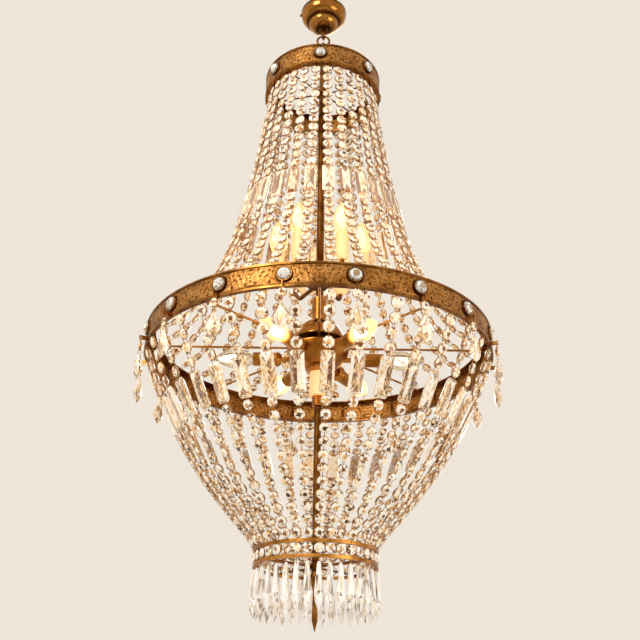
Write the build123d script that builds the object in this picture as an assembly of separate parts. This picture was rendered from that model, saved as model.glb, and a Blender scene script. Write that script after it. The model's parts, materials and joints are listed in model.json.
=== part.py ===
from build123d import *
from math import asinh, cos, cosh, hypot, pi, sin, sinh, tan
import os

# A crystal chandelier that hangs from a ceiling hook.
#
# Frame: millimetres, +Z up, origin at the centre of the bracket's top face, in the ceiling
# plane. An azimuth is counted from the front (-Y), and is positive towards +X. Most pieces are
# drawn at the front and then turned round the axis.

# ---- clearances ----
SEAT_GAP = 0.2          # between a curved seat and what stands against it
RUNNING_GAP = 0.05      # radial, round a shaft or a thread

# ---- ceiling bracket ----
BRACKET_LENGTH = 80.0
BRACKET_WIDTH = 18.0
BRACKET_THICKNESS = 2.0
BRACKET_EAR = 11.0          # height of the bent ends, below the ceiling
SCREW_SPACING = 50.0
SCREW_HOLE_RADIUS = 2.25
BOSS_RADIUS = 7.0
BOSS_HEIGHT = 12.0
BLOCK_LENGTH = 12.0         # terminal block
BLOCK_WIDTH = 14.0
BLOCK_HEIGHT = 9.0
BLOCK_PLACE = 14.5          # of its centre, from the axis

# ---- canopy ----
CANOPY_RADIUS = 48.0
CANOPY_STEP_RADIUS = 31.5
CANOPY_STEP_DEPTH = 26.5
CANOPY_DEPTH = 48.0
CANOPY_FOOT_RADIUS = 12.0
CANOPY_WALL = 1.2
SET_SCREW_RADIUS = 2.0
SET_SCREW_HEAD_RADIUS = 3.2
SET_SCREW_DEPTH = 6.5       # below the ceiling

# ---- hook, nuts, loop ring and eye ----
HOOK_WIRE = 3.0             # radius of the hook's rod
HOOK_BEND = 7.0             # radius of the hook's bow, to the rod's centre
HOOK_NECK = 8.95            # height of the swan neck between shank and bow
NUT_FLATS = 10.0
NUT_HEIGHT = 5.0
RING_RADIUS = 12.6          # loop ring, to the wire's centre
RING_WIRE = 2.2
EYE_RADIUS = 8.0
EYE_WIRE = 2.25
FERRULE_LENGTH = 13.0

# ---- stem ----
STEM_RADIUS = 7.0
STEM_BORE = 5.5
WIRE_RADIUS = 1.3
LOWER_STEM_RADIUS = 6.0

# ---- stamped bands ----
BAND_WALL = 1.5
BEAD_PROUD = 1.5            # how far the raised edges stand out of a band
BEAD_HEIGHT = 3.0
CROWN_RADIUS = 114.5
CROWN_TOP = -190.0
CROWN_HEIGHT = 44.0
CROWN_LIP = 12.0            # width of the flat lip at each edge
MIDDLE_RADIUS = 300.0
MIDDLE_TOP = -777.0
MIDDLE_HEIGHT = 40.0
MIDDLE_LIP = 16.0           # inner flange at the top, that the tent is hooked on
MIDDLE_FOOT_LIP = 6.0       # turned-in edge at the bottom, that carries the basket
CROWN_ARM_RADIUS = 1.6
CROWN_ARM_COUNT = 6
CROWN_ARM_FIRST = 13.7
CROWN_ARM_RISE = 17.0       # above the bottom of the crown band
CROWN_HUB_RADIUS = 14.0
CROWN_HUB_HEIGHT = 8.0

# ---- jewels on the bands ----
JEWEL_RADIUS = 11.0
JEWEL_DEPTH = 8.0
JEWEL_SIDES = 12
SETTING_WALL = 1.0
SETTING_DEPTH = 4.0
CROWN_JEWEL_COUNT = 7
CROWN_JEWEL_FIRST = -2.5
MIDDLE_JEWEL_COUNT = 18
MIDDLE_JEWEL_FIRST = 10.0

# ---- crystals ----
OCTAGON = 18.0              # across the flats
OCTAGON_SMALL = 16.0        # lower basket, where the strands crowd together
OCTAGON_FOOT = 15.5          # between the two foot bands
OCTAGON_PENDANT = 14.0
OCTAGON_DEPTH = 8.0
BAGUETTE_LENGTH = 63.0
BAGUETTE_WIDTH = 21.5
BAGUETTE_DEPTH = 10.0
BAGUETTE_BEVEL = 3.0
PIN_WIDTH = 1.6             # the brass pins that join the crystals
PIN_GAP = 3.0               # least length of pin that shows between two crystals

# ---- tent of strands, crown to middle band ----
TENT_COUNT = 30
TENT_FIRST = 4.7
TENT_INSET = 4.0            # of the strands' hooks from the flange's inner edge
TENT_TOP_RADIUS = 105.0
TENT_SAG = 66.0             # parameter of the catenary
TENT_UPPER_RUN = 262.0      # along the strand, from the crown to the baguette
TENT_LIFT = 5.5             # of the last crystal's centre line above the middle band
TENT_LAST_PIN = 6.0         # from the last crystal's end, down to the band

# ---- basket of strands, middle band to foot ----
BASKET_COUNT = 36
BASKET_FIRST = 3.0
BASKET_UPPER_RUN = 92.0
BASKET_TOP_PULL = (225.0, -1025.0)    # poles of the basket's curve: radius, height
BASKET_FOOT_PULL = (104.0, -1105.0)

# ---- upper lights ----
PLATE_RADIUS = 24.0
PLATE_HEIGHT = 8.0
PLATE_RISE = 28.0           # of its underside above the hub
LAMP_COUNT = 6
LAMP_FIRST = 30.0
UPPER_LAMP_RADIUS = 78.0
ARM_TUBE = 4.0
ARM_BEND = 8.0
ARM_RISE = 12.0             # from the arm's centre line up to the lampholder

# ---- lampholders and bulbs ----
HOLDER_RADIUS = 12.0
HOLDER_BORE = 7.2
HOLDER_LENGTH = 50.0
HOLDER_SOCKET = 25.0        # depth of the bore
BELL_RADIUS = 14.0
BELL_LENGTH = 8.0
NIPPLE_RADIUS = 4.5
CAP_LENGTH = 22.0
CAP_CLEARANCE = 0.4
BULB_RADIUS = 17.5
BULB_LENGTH = 70.0

# ---- hub ----
HUB_ABOVE = 98.0            # the hub's top above the spokes
HUB_NECK_RADIUS = 13.0
SHOULDER_ABOVE = 49.0       # the hub's shoulder above the spokes
HUB_CORE_RADIUS = 18.0
HUB_WALL = 1.2
DOME_CROWN_RADIUS = 22.0
DOME_RADIUS = 47.0
DOME_HEIGHT = 39.0
DISH_RADIUS = 55.5
DISH_BELOW = 3.0            # the dish's rim below the spokes
DISH_RIM = 2.0
DISH_DEPTH = 34.0
DISH_FLOOR_RADIUS = 21.0
DISH_BULGE = 13.5           # height of the dish's roundest place above its floor
SPOKE_COUNT = 8
SPOKE_RADIUS = 2.0
SPOKE_DROP = 7.0            # below the middle band's top
LOWER_LAMP_DROP = 19.0      # of the lower lights' centre line, below the dish's top
LOWER_LAMP_START = 64.0     # where the bells of the lower lampholders begin
CUP_HEIGHT = 10.0
CUP_FOOT_RADIUS = 11.0
SLEEVE_RADIUS = 15.0
SLEEVE_LENGTH = 44.0
COLLAR_RADIUS = 10.5
COLLAR_LENGTH = 18.0
COLLAR_RIBS = 5

# ---- foot ----
FOOT_RADIUS = 99.5
FOOT_WIDTH = 5.0            # of each band, across
FOOT_BAND_HEIGHT = 5.0
FOOT_TOP = -1138.0
FOOT_GAP = 18.0             # between the two bands
FOOT_COUNT = 36
FOOT_FIRST = 3.0
FOOT_ARM_RADIUS = 1.5
FOOT_ARM_COUNT = 4
FOOT_HUB_RADIUS = 10.0
FOOT_HUB_HEIGHT = 7.0
LOWER_STEM_STUB = 4.0       # of the lower stem under the foot band
SPEAR_LENGTH = 70.0
SPEAR_WIDTH = 14.4
SPEAR_NECK = 4.6
SPEAR_SIDES = 6
SPEAR_WIDEST = 0.70         # of the length, from the top
SPEAR_PIN = 6.0
FINIAL_RADIUS = 8.0
FINIAL_KNOB = 8.0           # height of the knob's taper, and where its round part starts
FINIAL_KNOB_END = 14.0
FINIAL_WAIST = 30.0         # from the top down to the slim waist
FINIAL_BUD = 0.80           # of the length, from the top down to the bud above the point
FINIAL_DROP = 20.0          # of the finial's tip below the spears' tips

# ---- pendants on the middle band ----
PENDANT_REACH = 11.0        # from the band to the swing axis
PENDANT_DROP = 0.2          # of the swing axis below the band's edge
LUG_THICKNESS = 1.2
LUG_HEIGHT = 7.5
LUG_HOLE = 1.4
LUG_EDGE = 3.0              # of metal outside the hole
PENDANT_RING = 3.2
PENDANT_WIRE = 0.7
PENDANT_OCTAGON_DEPTH = 7.0
PENDANT_LINK = 6.0
DROP_LENGTH = 49.0
DROP_WIDTH = 30.0
DROP_DEPTH = 12.0
DROP_SIDES = 14
DROP_TABLE = 0.45

# ---- heights that follow ----
SHANK_END = -(CANOPY_DEPTH + NUT_HEIGHT + 0.5)
BOW_HEIGHT = SHANK_END - HOOK_NECK
RING_AXIS = BOW_HEIGHT - HOOK_BEND                     # the loop ring swings about this height
RING_HEIGHT = RING_AXIS - (RING_RADIUS - RING_WIRE - HOOK_WIRE - RUNNING_GAP)
FRAME_AXIS = RING_HEIGHT - RING_RADIUS                 # the frame swings about this height
EYE_HEIGHT = FRAME_AXIS - (EYE_RADIUS - EYE_WIRE - RING_WIRE - RUNNING_GAP)
FERRULE_TOP = EYE_HEIGHT - EYE_RADIUS - EYE_WIRE / 3
STEM_TOP = FERRULE_TOP - FERRULE_LENGTH
CROWN_BOTTOM = CROWN_TOP - CROWN_HEIGHT
CROWN_ARM_HEIGHT = CROWN_BOTTOM + CROWN_ARM_RISE
MIDDLE_BOTTOM = MIDDLE_TOP - MIDDLE_HEIGHT
SPOKE_HEIGHT = MIDDLE_TOP - SPOKE_DROP
HUB_TOP = SPOKE_HEIGHT + HUB_ABOVE
HUB_SHOULDER = SPOKE_HEIGHT + SHOULDER_ABOVE
DISH_TOP = SPOKE_HEIGHT - DISH_BELOW
TENT_FOOT_RADIUS = MIDDLE_RADIUS - MIDDLE_LIP + TENT_INSET
BASKET_TOP_RADIUS = MIDDLE_RADIUS - MIDDLE_FOOT_LIP / 2
PLATE_TOP = HUB_TOP + PLATE_RISE + PLATE_HEIGHT
LOWER_LAMP_HEIGHT = DISH_TOP - LOWER_LAMP_DROP
DISH_BOTTOM = DISH_TOP - DISH_DEPTH
CUP_BOTTOM = DISH_BOTTOM - CUP_HEIGHT
SLEEVE_BOTTOM = CUP_BOTTOM - SLEEVE_LENGTH
COLLAR_BOTTOM = SLEEVE_BOTTOM - COLLAR_LENGTH
FOOT_UPPER_BOTTOM = FOOT_TOP - FOOT_BAND_HEIGHT
FOOT_LOWER_TOP = FOOT_UPPER_BOTTOM - FOOT_GAP
FOOT_BOTTOM = FOOT_LOWER_TOP - FOOT_BAND_HEIGHT
FOOT_STRAND_RADIUS = FOOT_RADIUS - FOOT_WIDTH / 2
SPEAR_TOP = FOOT_BOTTOM - SPEAR_PIN
SPEAR_TIP = SPEAR_TOP - SPEAR_LENGTH
LOWER_STEM_BOTTOM = FOOT_BOTTOM - LOWER_STEM_STUB
FINIAL_TIP = SPEAR_TIP - FINIAL_DROP
PENDANT_AXIS = MIDDLE_BOTTOM - PENDANT_DROP
PENDANT_RADIUS = MIDDLE_RADIUS + PENDANT_REACH


# ---- placing ----
def front(x, radius, height):
    """A point at the front of the lamp, at a radius from the axis and x to the right."""
    return (x, -radius, height)


def turned(piece, azimuth):
    """A piece drawn at the front, turned round the axis to an azimuth."""
    return Rot(0, 0, azimuth) * piece


def ring_of(piece, count, first=0.0):
    """Copies of a piece drawn at the front, evenly round the axis."""
    return [turned(piece, first + 360.0 * i / count) for i in range(count)]


# ---- solids with flat faces ----
def flat_face(outline, holes=()):
    """A flat face inside a loop of points, less any holes."""
    wire = Wire.make_polygon([Vector(*p) for p in outline], close=True)
    inner = [Wire.make_polygon([Vector(*p) for p in hole], close=True) for hole in holes]
    return Face(wire, inner)


def faceted(rings):
    """A solid through rings of points, each ring with as many points, or one at a tip."""
    faces = [flat_face(ring) for ring in (rings[0], rings[-1]) if len(ring) > 2]
    for one, two in zip(rings, rings[1:]):
        count = max(len(one), len(two))
        for i in range(count):
            j = (i + 1) % count
            loop = [one[i], one[j]] if len(one) > 1 else [one[0]]
            loop += [two[j], two[i]] if len(two) > 1 else [two[0]]
            faces.append(flat_face(loop))
    return Solid(Shell(faces))


def octagon_outline(size):
    """Corners (across, along) of an octagon with a flat at each end."""
    half, corner = size / 2, size / 2 * tan(pi / 8)
    return [(-corner, -half), (corner, -half), (half, -corner), (half, corner),
            (corner, half), (-corner, half), (-half, corner), (-half, -corner)]


def octagon_bead(size, depth, radius, height):
    """A flat octagon crystal at the front, its face outwards, centred at a height."""
    outline = octagon_outline(size)
    return faceted([[front(x, radius + side * depth / 2, height - z) for x, z in outline]
                    for side in (-1, 1)])


# ---- curves of the strands: each gives (radius, height) at a length along it ----
def tent_curve():
    """Catenary from the crown's lip out to the middle band.

    height = floor + sag * cosh((centre - radius) / sag), and the length along it is
    sag * sinh of the same, so the radius at a length comes from asinh.
    """
    reach = TENT_FOOT_RADIUS - TENT_LAST_PIN
    rise = CROWN_BOTTOM - MIDDLE_TOP - TENT_LIFT
    span = reach - TENT_TOP_RADIUS
    lean = asinh(rise / (2 * TENT_SAG * sinh(span / (2 * TENT_SAG))))
    centre = (TENT_TOP_RADIUS + reach) / 2 + TENT_SAG * lean
    start = (centre - TENT_TOP_RADIUS) / TENT_SAG
    end = (centre - reach) / TENT_SAG
    length = TENT_SAG * (sinh(start) - sinh(end))

    def at(along):
        place = asinh(sinh(start) - along / TENT_SAG)
        return (centre - TENT_SAG * place, CROWN_BOTTOM + TENT_SAG * (cosh(place) - cosh(start)))
    return at, length


def basket_curve():
    """Curve with four poles, from the middle band's lip down to the foot."""
    edge = Bezier((BASKET_TOP_RADIUS, MIDDLE_BOTTOM), BASKET_TOP_PULL, BASKET_FOOT_PULL,
                  (FOOT_STRAND_RADIUS, FOOT_TOP))

    def at(along):
        point = edge.position_at(along, position_mode=PositionMode.LENGTH)
        return (point.X, point.Y)
    return at, edge.length


def step(start, end, amount):
    """The point an amount of length from start towards end."""
    length = hypot(end[0] - start[0], end[1] - start[1])
    return tuple(a + (b - a) * amount / length for a, b in zip(start, end))


def beads_along(at, start, end, size):
    """Centres and directions of the octagons that fill a stretch of a curve."""
    count = int((end - start) // (size + PIN_GAP))
    pitch = (end - start) / count
    beads = []
    for i in range(count):
        along = start + (i + 0.5) * pitch
        above, below = at(along - size / 2), at(along + size / 2)
        length = hypot(below[0] - above[0], below[1] - above[1])
        direction = ((below[0] - above[0]) / length, (below[1] - above[1]) / length)
        beads.append(((above[0] + below[0]) / 2, (above[1] + below[1]) / 2, direction))
    return beads


def pin_section(point, outward):
    """The four corners of a pin's square section, across X and an outward direction."""
    half = PIN_WIDTH / 2
    return [front(x, point[0] + side * half * outward[0], point[1] + side * half * outward[1])
            for x, side in ((-half, -1), (half, -1), (half, 1), (-half, 1))]


def chain(beads, size, top, top_outward, bottom, bottom_outward):
    """A run of octagons joined by pins into one solid, drawn at the front."""
    faces = []
    above = pin_section(top, top_outward)
    faces.append(flat_face(above))
    for radius, height, (run, fall) in beads:
        outward = (-fall, run)
        sides = []
        for side in (-1, 1):
            deep = side * OCTAGON_DEPTH / 2
            sides.append([front(x, radius + z * run + deep * outward[0],
                                height + z * fall + deep * outward[1])
                          for x, z in octagon_outline(size)])
        back, face = sides
        faces += [flat_face(back), flat_face(face)]
        entry = pin_section((radius - size / 2 * run, height - size / 2 * fall), outward)
        leave = pin_section((radius + size / 2 * run, height + size / 2 * fall), outward)
        for i in range(8):
            j = (i + 1) % 8
            hole = {0: [entry], 4: [leave]}.get(i, [])
            faces.append(flat_face([back[i], back[j], face[j], face[i]], hole))
        faces += pin_faces(above, entry)
        above = leave
    below = pin_section(bottom, bottom_outward)
    faces += pin_faces(above, below)
    faces.append(flat_face(below))
    return Solid(Shell(faces))


def pin_faces(above, below):
    """The four long faces of a pin between two sections."""
    return [flat_face([above[i], above[(i + 1) % 4], below[(i + 1) % 4], below[i]])
            for i in range(4)]


def baguette(top, bottom):
    """A long flat crystal with bevelled edges, between two points at the front."""
    run, fall = ((b - a) / BAGUETTE_LENGTH for a, b in zip(top, bottom))
    wide, deep = BAGUETTE_WIDTH / 2, BAGUETTE_DEPTH / 2
    cut = BAGUETTE_BEVEL
    section = [(-wide + cut, -deep), (wide - cut, -deep), (wide, -deep + cut),
               (wide, deep - cut), (wide - cut, deep), (-wide + cut, deep),
               (-wide, deep - cut), (-wide, -deep + cut)]
    return faceted([[front(x, end[0] - y * fall, end[1] + y * run) for x, y in section]
                    for end in (top, bottom)])


def strand(curve, upper_run, upper_size, lower_size, foot):
    """Upper chain, baguette and lower chain of one strand, drawn at the front, down to a foot."""
    at, length = curve
    level = (1.0, 0.0)
    top, gem_top = at(0.0), at(upper_run)
    gem_bottom = step(gem_top, at(upper_run + BAGUETTE_LENGTH), BAGUETTE_LENGTH)
    run, fall = ((b - a) / BAGUETTE_LENGTH for a, b in zip(gem_top, gem_bottom))
    outward = (-fall, run)
    upper = chain(beads_along(at, 0.0, upper_run, upper_size), upper_size,
                  top, level, gem_top, outward)
    lower = chain(beads_along(at, upper_run + BAGUETTE_LENGTH, length, lower_size), lower_size,
                  gem_bottom, outward, foot, level)
    return upper, baguette(gem_top, gem_bottom), lower


# ---- round solids ----
def turned_profile(points):
    """A solid of revolution about the axis, from (radius, height) corners."""
    return revolve(make_face(Polyline([(r, 0, z) for r, z in points], close=True)), Axis.Z)


def tube(outer, inner, top, bottom):
    """A round tube on the axis; with no inner radius it is a rod."""
    body = Pos(0, 0, bottom) * Cylinder(outer, top - bottom, align=(Align.CENTER, Align.CENTER, Align.MIN))
    if inner:
        body -= Pos(0, 0, bottom) * Cylinder(inner, top - bottom,
                                             align=(Align.CENTER, Align.CENTER, Align.MIN))
    return body


def radial_rod(radius, start, end, height):
    """A round rod at the front that runs straight out from the axis."""
    rod = Cylinder(radius, end - start, align=(Align.CENTER, Align.CENTER, Align.MIN))
    return Pos(0, -start, height) * Rot(90, 0, 0) * rod


def torus_at(major, minor, height, normal):
    """A ring of round wire with its centre on the axis."""
    return Plane(origin=(0, 0, height), z_dir=normal) * Torus(major, minor)


# ---- ceiling fitting ----
def ceiling_bracket():
    """Flat strap with bent ears, two screw holes and a threaded boss for the hook."""
    half = BRACKET_LENGTH / 2
    strap = Pos(0, 0, -BRACKET_THICKNESS / 2) * Box(BRACKET_LENGTH, BRACKET_WIDTH, BRACKET_THICKNESS)
    for side in (-1, 1):
        ear = Box(BRACKET_THICKNESS, BRACKET_WIDTH, BRACKET_EAR)
        strap += Pos(side * (half - BRACKET_THICKNESS / 2), 0, -BRACKET_EAR / 2) * ear
        strap -= Pos(side * SCREW_SPACING / 2, 0, 0) * Cylinder(SCREW_HOLE_RADIUS,
                                                               3 * BRACKET_THICKNESS)
    bottom = -BRACKET_THICKNESS - BOSS_HEIGHT
    strap += tube(BOSS_RADIUS, 0, -BRACKET_THICKNESS, bottom)
    return strap - tube(HOOK_WIRE + RUNNING_GAP, 0, bottom + BOSS_HEIGHT - 2.0, bottom)


def bowl(inset):
    """Outline of the canopy's stepped bowl, drawn in by an inset, as a filled solid."""
    rim, waist = CANOPY_RADIUS - inset, CANOPY_STEP_RADIUS - inset
    depth, step_depth = CANOPY_DEPTH - inset, CANOPY_STEP_DEPTH - inset
    foot = CANOPY_FOOT_RADIUS - inset / 2
    lip = 2.0
    wall = [Line((0, 0, 0), (rim, 0, 0)), Line((rim, 0, 0), (rim, 0, -lip)),
            ThreePointArc((rim, 0, -lip), (0.90 * rim, 0, -0.68 * step_depth), (waist, 0, -step_depth)),
            ThreePointArc((waist, 0, -step_depth), (0.85 * waist, 0, -(step_depth + depth) / 2 - 2.0),
                          (foot, 0, -depth)),
            Line((foot, 0, -depth), (0, 0, -depth)), Line((0, 0, -depth), (0, 0, 0))]
    return revolve(make_face(Wire(wall)), Axis.Z)


def canopy():
    """Thin stepped bowl, open at the ceiling, with a hole for the hook and one for the screw."""
    shell = bowl(0.0) - bowl(CANOPY_WALL)
    shell -= tube(HOOK_WIRE + SEAT_GAP, 0, -CANOPY_DEPTH / 2, -CANOPY_DEPTH - 1.0)
    drill = Cylinder(SET_SCREW_RADIUS + RUNNING_GAP, CANOPY_RADIUS,
                     align=(Align.CENTER, Align.CENTER, Align.MIN))
    return shell - Pos(0, 0, -SET_SCREW_DEPTH) * Rot(0, -90, 0) * drill


def canopy_set_screw():
    """Screw through the canopy's left wall, its tip on the bracket's ear."""
    tip = BRACKET_LENGTH / 2
    shaft = Cylinder(SET_SCREW_RADIUS, CANOPY_RADIUS + 0.5 - tip,
                     align=(Align.CENTER, Align.CENTER, Align.MIN))
    head = Pos(0, 0, CANOPY_RADIUS + 0.1 - tip) * Cylinder(
        SET_SCREW_HEAD_RADIUS, 2.4, align=(Align.CENTER, Align.CENTER, Align.MIN))
    return Pos(-tip, 0, -SET_SCREW_DEPTH) * Rot(0, -90, 0) * (shaft + head)


def hook_nut(top):
    """Hexagon nut on the hook's shank, hung under a height."""
    body = extrude(RegularPolygon(NUT_FLATS / 2, 6, major_radius=False), NUT_HEIGHT)
    body = Pos(0, 0, top - NUT_HEIGHT) * body
    return body - tube(HOOK_WIRE + RUNNING_GAP, 0, top, top - NUT_HEIGHT)


def ceiling_hook():
    """Round rod: shank, swan neck and bow, in the YZ plane."""
    with BuildLine(Plane.YZ) as path:
        shank = Line((0, -BRACKET_THICKNESS - 2.2), (0, SHANK_END))
        neck = TangentArc(shank @ 1, (-HOOK_BEND / 2, (SHANK_END + BOW_HEIGHT) / 2), tangent=shank % 1)
        turn = TangentArc(neck @ 1, (-HOOK_BEND, BOW_HEIGHT), tangent=neck % 1)
        bow = ThreePointArc(turn @ 1, (0, RING_AXIS), (HOOK_BEND, BOW_HEIGHT))
        Line(bow @ 1, (HOOK_BEND, BOW_HEIGHT + 2.5))
    section = Plane(origin=(0, 0, -BRACKET_THICKNESS - 2.2), z_dir=(0, 0, -1)) * Circle(HOOK_WIRE)
    return sweep(section, path.line)


def top_eye():
    """Closed eye in the YZ plane, on a ferrule that screws on the stem."""
    ferrule = tube(STEM_RADIUS, 0, FERRULE_TOP, STEM_TOP)
    return torus_at(EYE_RADIUS, EYE_WIRE, EYE_HEIGHT, (1, 0, 0)) + ferrule


# ---- bands ----
def band(radius, top, height, top_lip, foot_lip):
    """Stamped strip with raised edges outside and a flat lip inside at each edge."""
    wall, out, edge = radius - BAND_WALL, radius + BEAD_PROUD, BEAD_HEIGHT
    bottom, inside, foot = top - height, radius - top_lip, radius - foot_lip
    return turned_profile([
        (inside, top), (out, top), (out, top - edge), (radius, top - edge),
        (radius, bottom + edge), (out, bottom + edge), (out, bottom), (foot, bottom),
        (foot, bottom + BAND_WALL), (wall, bottom + BAND_WALL), (wall, top - BAND_WALL),
        (inside, top - BAND_WALL)])


def pendant_lug():
    """Small plate under a jewel, with a hole; a pendant's ring bears on the hole's lower edge."""
    end = PENDANT_RADIUS + LUG_EDGE
    start = MIDDLE_RADIUS - BAND_WALL / 2
    curl = PENDANT_RING - (PENDANT_RING ** 2 - (LUG_THICKNESS / 2) ** 2) ** 0.5
    centre = PENDANT_AXIS + LUG_HOLE - PENDANT_WIRE - curl - RUNNING_GAP / 2
    plate = Box(LUG_THICKNESS, end - start, LUG_HEIGHT)
    plate = Pos(0, -(start + end) / 2, centre + 0.5) * plate
    hole = Pos(0, -PENDANT_RADIUS, centre) * Rot(0, 90, 0) * Cylinder(LUG_HOLE, 3 * LUG_THICKNESS)
    return plate - hole


def middle_band():
    body = band(MIDDLE_RADIUS, MIDDLE_TOP, MIDDLE_HEIGHT, MIDDLE_LIP, MIDDLE_FOOT_LIP)
    return body + ring_of(pendant_lug(), MIDDLE_JEWEL_COUNT, MIDDLE_JEWEL_FIRST)


def jewel_setting(radius, height):
    """Cup for one round jewel, its back cut to the band's curve."""
    outer = JEWEL_RADIUS + SEAT_GAP / 2 + SETTING_WALL
    face = radius + SEAT_GAP / 2 + SETTING_DEPTH
    cup = radial_rod(outer, radius - SETTING_DEPTH, face, height)
    cup -= radial_rod(outer - SETTING_WALL, face - SETTING_DEPTH + 1.0, face + 1.0, height)
    return cup - tube(radius + SEAT_GAP / 2, 0, height + 2 * outer, height - 2 * outer)


def jewel(radius, height):
    """Round faceted stone with a flat back, seated in its setting."""
    back = radius + SEAT_GAP / 2 + 1.0
    rings = []
    for scale, deep in ((0.9, 0.0), (1.0, 0.25), (0.55, 1.0)):
        rings.append([front(scale * JEWEL_RADIUS * sin(2 * pi * i / JEWEL_SIDES),
                            back + deep * JEWEL_DEPTH,
                            height + scale * JEWEL_RADIUS * cos(2 * pi * i / JEWEL_SIDES))
                      for i in range(JEWEL_SIDES)])
    return faceted(rings)


def jewels_with(make):
    """One piece for every jewel of both bands."""
    crown = make(CROWN_RADIUS, CROWN_TOP - CROWN_HEIGHT / 2)
    middle = make(MIDDLE_RADIUS, MIDDLE_TOP - MIDDLE_HEIGHT / 2)
    return (ring_of(crown, CROWN_JEWEL_COUNT, CROWN_JEWEL_FIRST)
            + ring_of(middle, MIDDLE_JEWEL_COUNT, MIDDLE_JEWEL_FIRST))


def spider(hub, bore, height, hub_height, arm, reach, count, first):
    """Ring on the stem with thin arms out to a band."""
    body = tube(hub, bore + RUNNING_GAP, height + hub_height / 2, height - hub_height / 2)
    return body + ring_of(radial_rod(arm, hub - 1.0, reach - SEAT_GAP, height), count, first)


# ---- lights ----
def lampholder(nipple):
    """Bell, tube and socket along +Z, on a nipple (if any) that starts at the origin."""
    mouth = nipple + HOLDER_LENGTH
    body = turned_profile([
        (0, nipple), (0.6 * BELL_RADIUS, nipple), (BELL_RADIUS, nipple + BELL_LENGTH),
        (HOLDER_RADIUS, nipple + BELL_LENGTH + 1.5), (HOLDER_RADIUS, mouth), (HOLDER_BORE, mouth),
        (HOLDER_BORE, mouth - HOLDER_SOCKET), (0, mouth - HOLDER_SOCKET)])
    return body + tube(NIPPLE_RADIUS, 0, nipple, 0) if nipple else body


def bulb(mouth):
    """Candle bulb along +Z: cap down in the socket, glass above the mouth."""
    cap = HOLDER_BORE - CAP_CLEARANCE
    neck = mouth + SEAT_GAP
    with BuildLine(Plane.XZ) as outline:
        Polyline((0, neck - CAP_LENGTH), (cap, neck - CAP_LENGTH), (cap, neck), (0.6 * BULB_RADIUS, neck))
        Spline((0.6 * BULB_RADIUS, neck), (BULB_RADIUS, neck + 0.40 * BULB_LENGTH),
               (0.52 * BULB_RADIUS, neck + 0.80 * BULB_LENGTH), (0, neck + BULB_LENGTH))
        Line((0, neck + BULB_LENGTH), (0, neck - CAP_LENGTH))
    return revolve(make_face(outline.line), Axis.Z)


def upper_place(piece):
    """Stands a piece of an upper light on its arm, at the front."""
    return Pos(0, -UPPER_LAMP_RADIUS, PLATE_TOP - PLATE_HEIGHT / 2 + ARM_RISE) * piece


def lower_place(piece):
    """Lays a piece of a lower light outwards from the hub, at the front."""
    return Pos(0, -HUB_CORE_RADIUS - SEAT_GAP, LOWER_LAMP_HEIGHT) * Rot(90, 0, 0) * piece


def upper_arm():
    """Bent tube from the plate out and up to a lampholder."""
    height = PLATE_TOP - PLATE_HEIGHT / 2
    start = front(0, PLATE_RADIUS + SEAT_GAP, height)
    corner = front(0, UPPER_LAMP_RADIUS, height)
    end = front(0, UPPER_LAMP_RADIUS, height + ARM_RISE)
    path = FilletPolyline(start, corner, end, radius=ARM_BEND)
    return sweep(Plane(origin=start, z_dir=(0, -1, 0)) * Circle(ARM_TUBE), path)


# ---- hub ----
def hub_body():
    """Turned core that carries the spokes and the lower lights."""
    floor = DISH_BOTTOM + HUB_WALL
    return (tube(HUB_NECK_RADIUS, 0, HUB_TOP, HUB_SHOULDER)
            + tube(HUB_CORE_RADIUS, 0, HUB_SHOULDER, floor))


def shell_of(outer, inner):
    """Thin spun shell between two (radius, height) lines: a flat, then one bulging arc."""
    wires = []
    for hole, flat, bulge, rim in (outer, inner):
        wires.append([hole, flat, bulge, rim])
    (a0, a1, a2, a3), (b0, b1, b2, b3) = [[(r, 0, z) for r, z in line] for line in wires]
    wall = [Line(a0, a1), ThreePointArc(a1, a2, a3), Line(a3, b3), ThreePointArc(b3, b2, b1),
            Line(b1, b0), Line(b0, a0)]
    return revolve(make_face(Wire(wall)), Axis.Z)


def hub_dome():
    """Spun cap above the spokes, seated on the hub's shoulder."""
    top, hole = HUB_SHOULDER + HUB_WALL, HUB_NECK_RADIUS + RUNNING_GAP
    middle = ((DOME_CROWN_RADIUS + DOME_RADIUS) / 2 + 4.0, top - DOME_HEIGHT / 2 + 3.0)
    outer = ((hole, top), (DOME_CROWN_RADIUS, top), middle, (DOME_RADIUS, top - DOME_HEIGHT))
    inner = ((hole, top - HUB_WALL), (DOME_CROWN_RADIUS - HUB_WALL / 2, top - HUB_WALL),
             (middle[0] - HUB_WALL, middle[1] - HUB_WALL), (DOME_RADIUS - HUB_WALL, top - DOME_HEIGHT))
    return shell_of(outer, inner)


def hub_dish():
    """Spun dish under the spokes, with a hole for each lower lampholder's nipple."""
    rim = DISH_TOP - DISH_RIM
    bulge = (DISH_FLOOR_RADIUS + 0.74 * (DISH_RADIUS - DISH_FLOOR_RADIUS), DISH_BOTTOM + DISH_BULGE)
    outer = ((0, DISH_BOTTOM), (DISH_FLOOR_RADIUS, DISH_BOTTOM), bulge, (DISH_RADIUS, rim))
    inner = ((0, DISH_BOTTOM + HUB_WALL), (DISH_FLOOR_RADIUS - HUB_WALL / 2, DISH_BOTTOM + HUB_WALL),
             (bulge[0] - HUB_WALL, bulge[1] + HUB_WALL), (DISH_RADIUS - HUB_WALL, rim))
    shell = shell_of(outer, inner) + tube(DISH_RADIUS, DISH_RADIUS - HUB_WALL, DISH_TOP, rim)
    drill = radial_rod(NIPPLE_RADIUS + SEAT_GAP, HUB_CORE_RADIUS + 1.0, DISH_RADIUS + 1.0,
                       LOWER_LAMP_HEIGHT)
    return shell - ring_of(drill, LAMP_COUNT, LAMP_FIRST)


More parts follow.
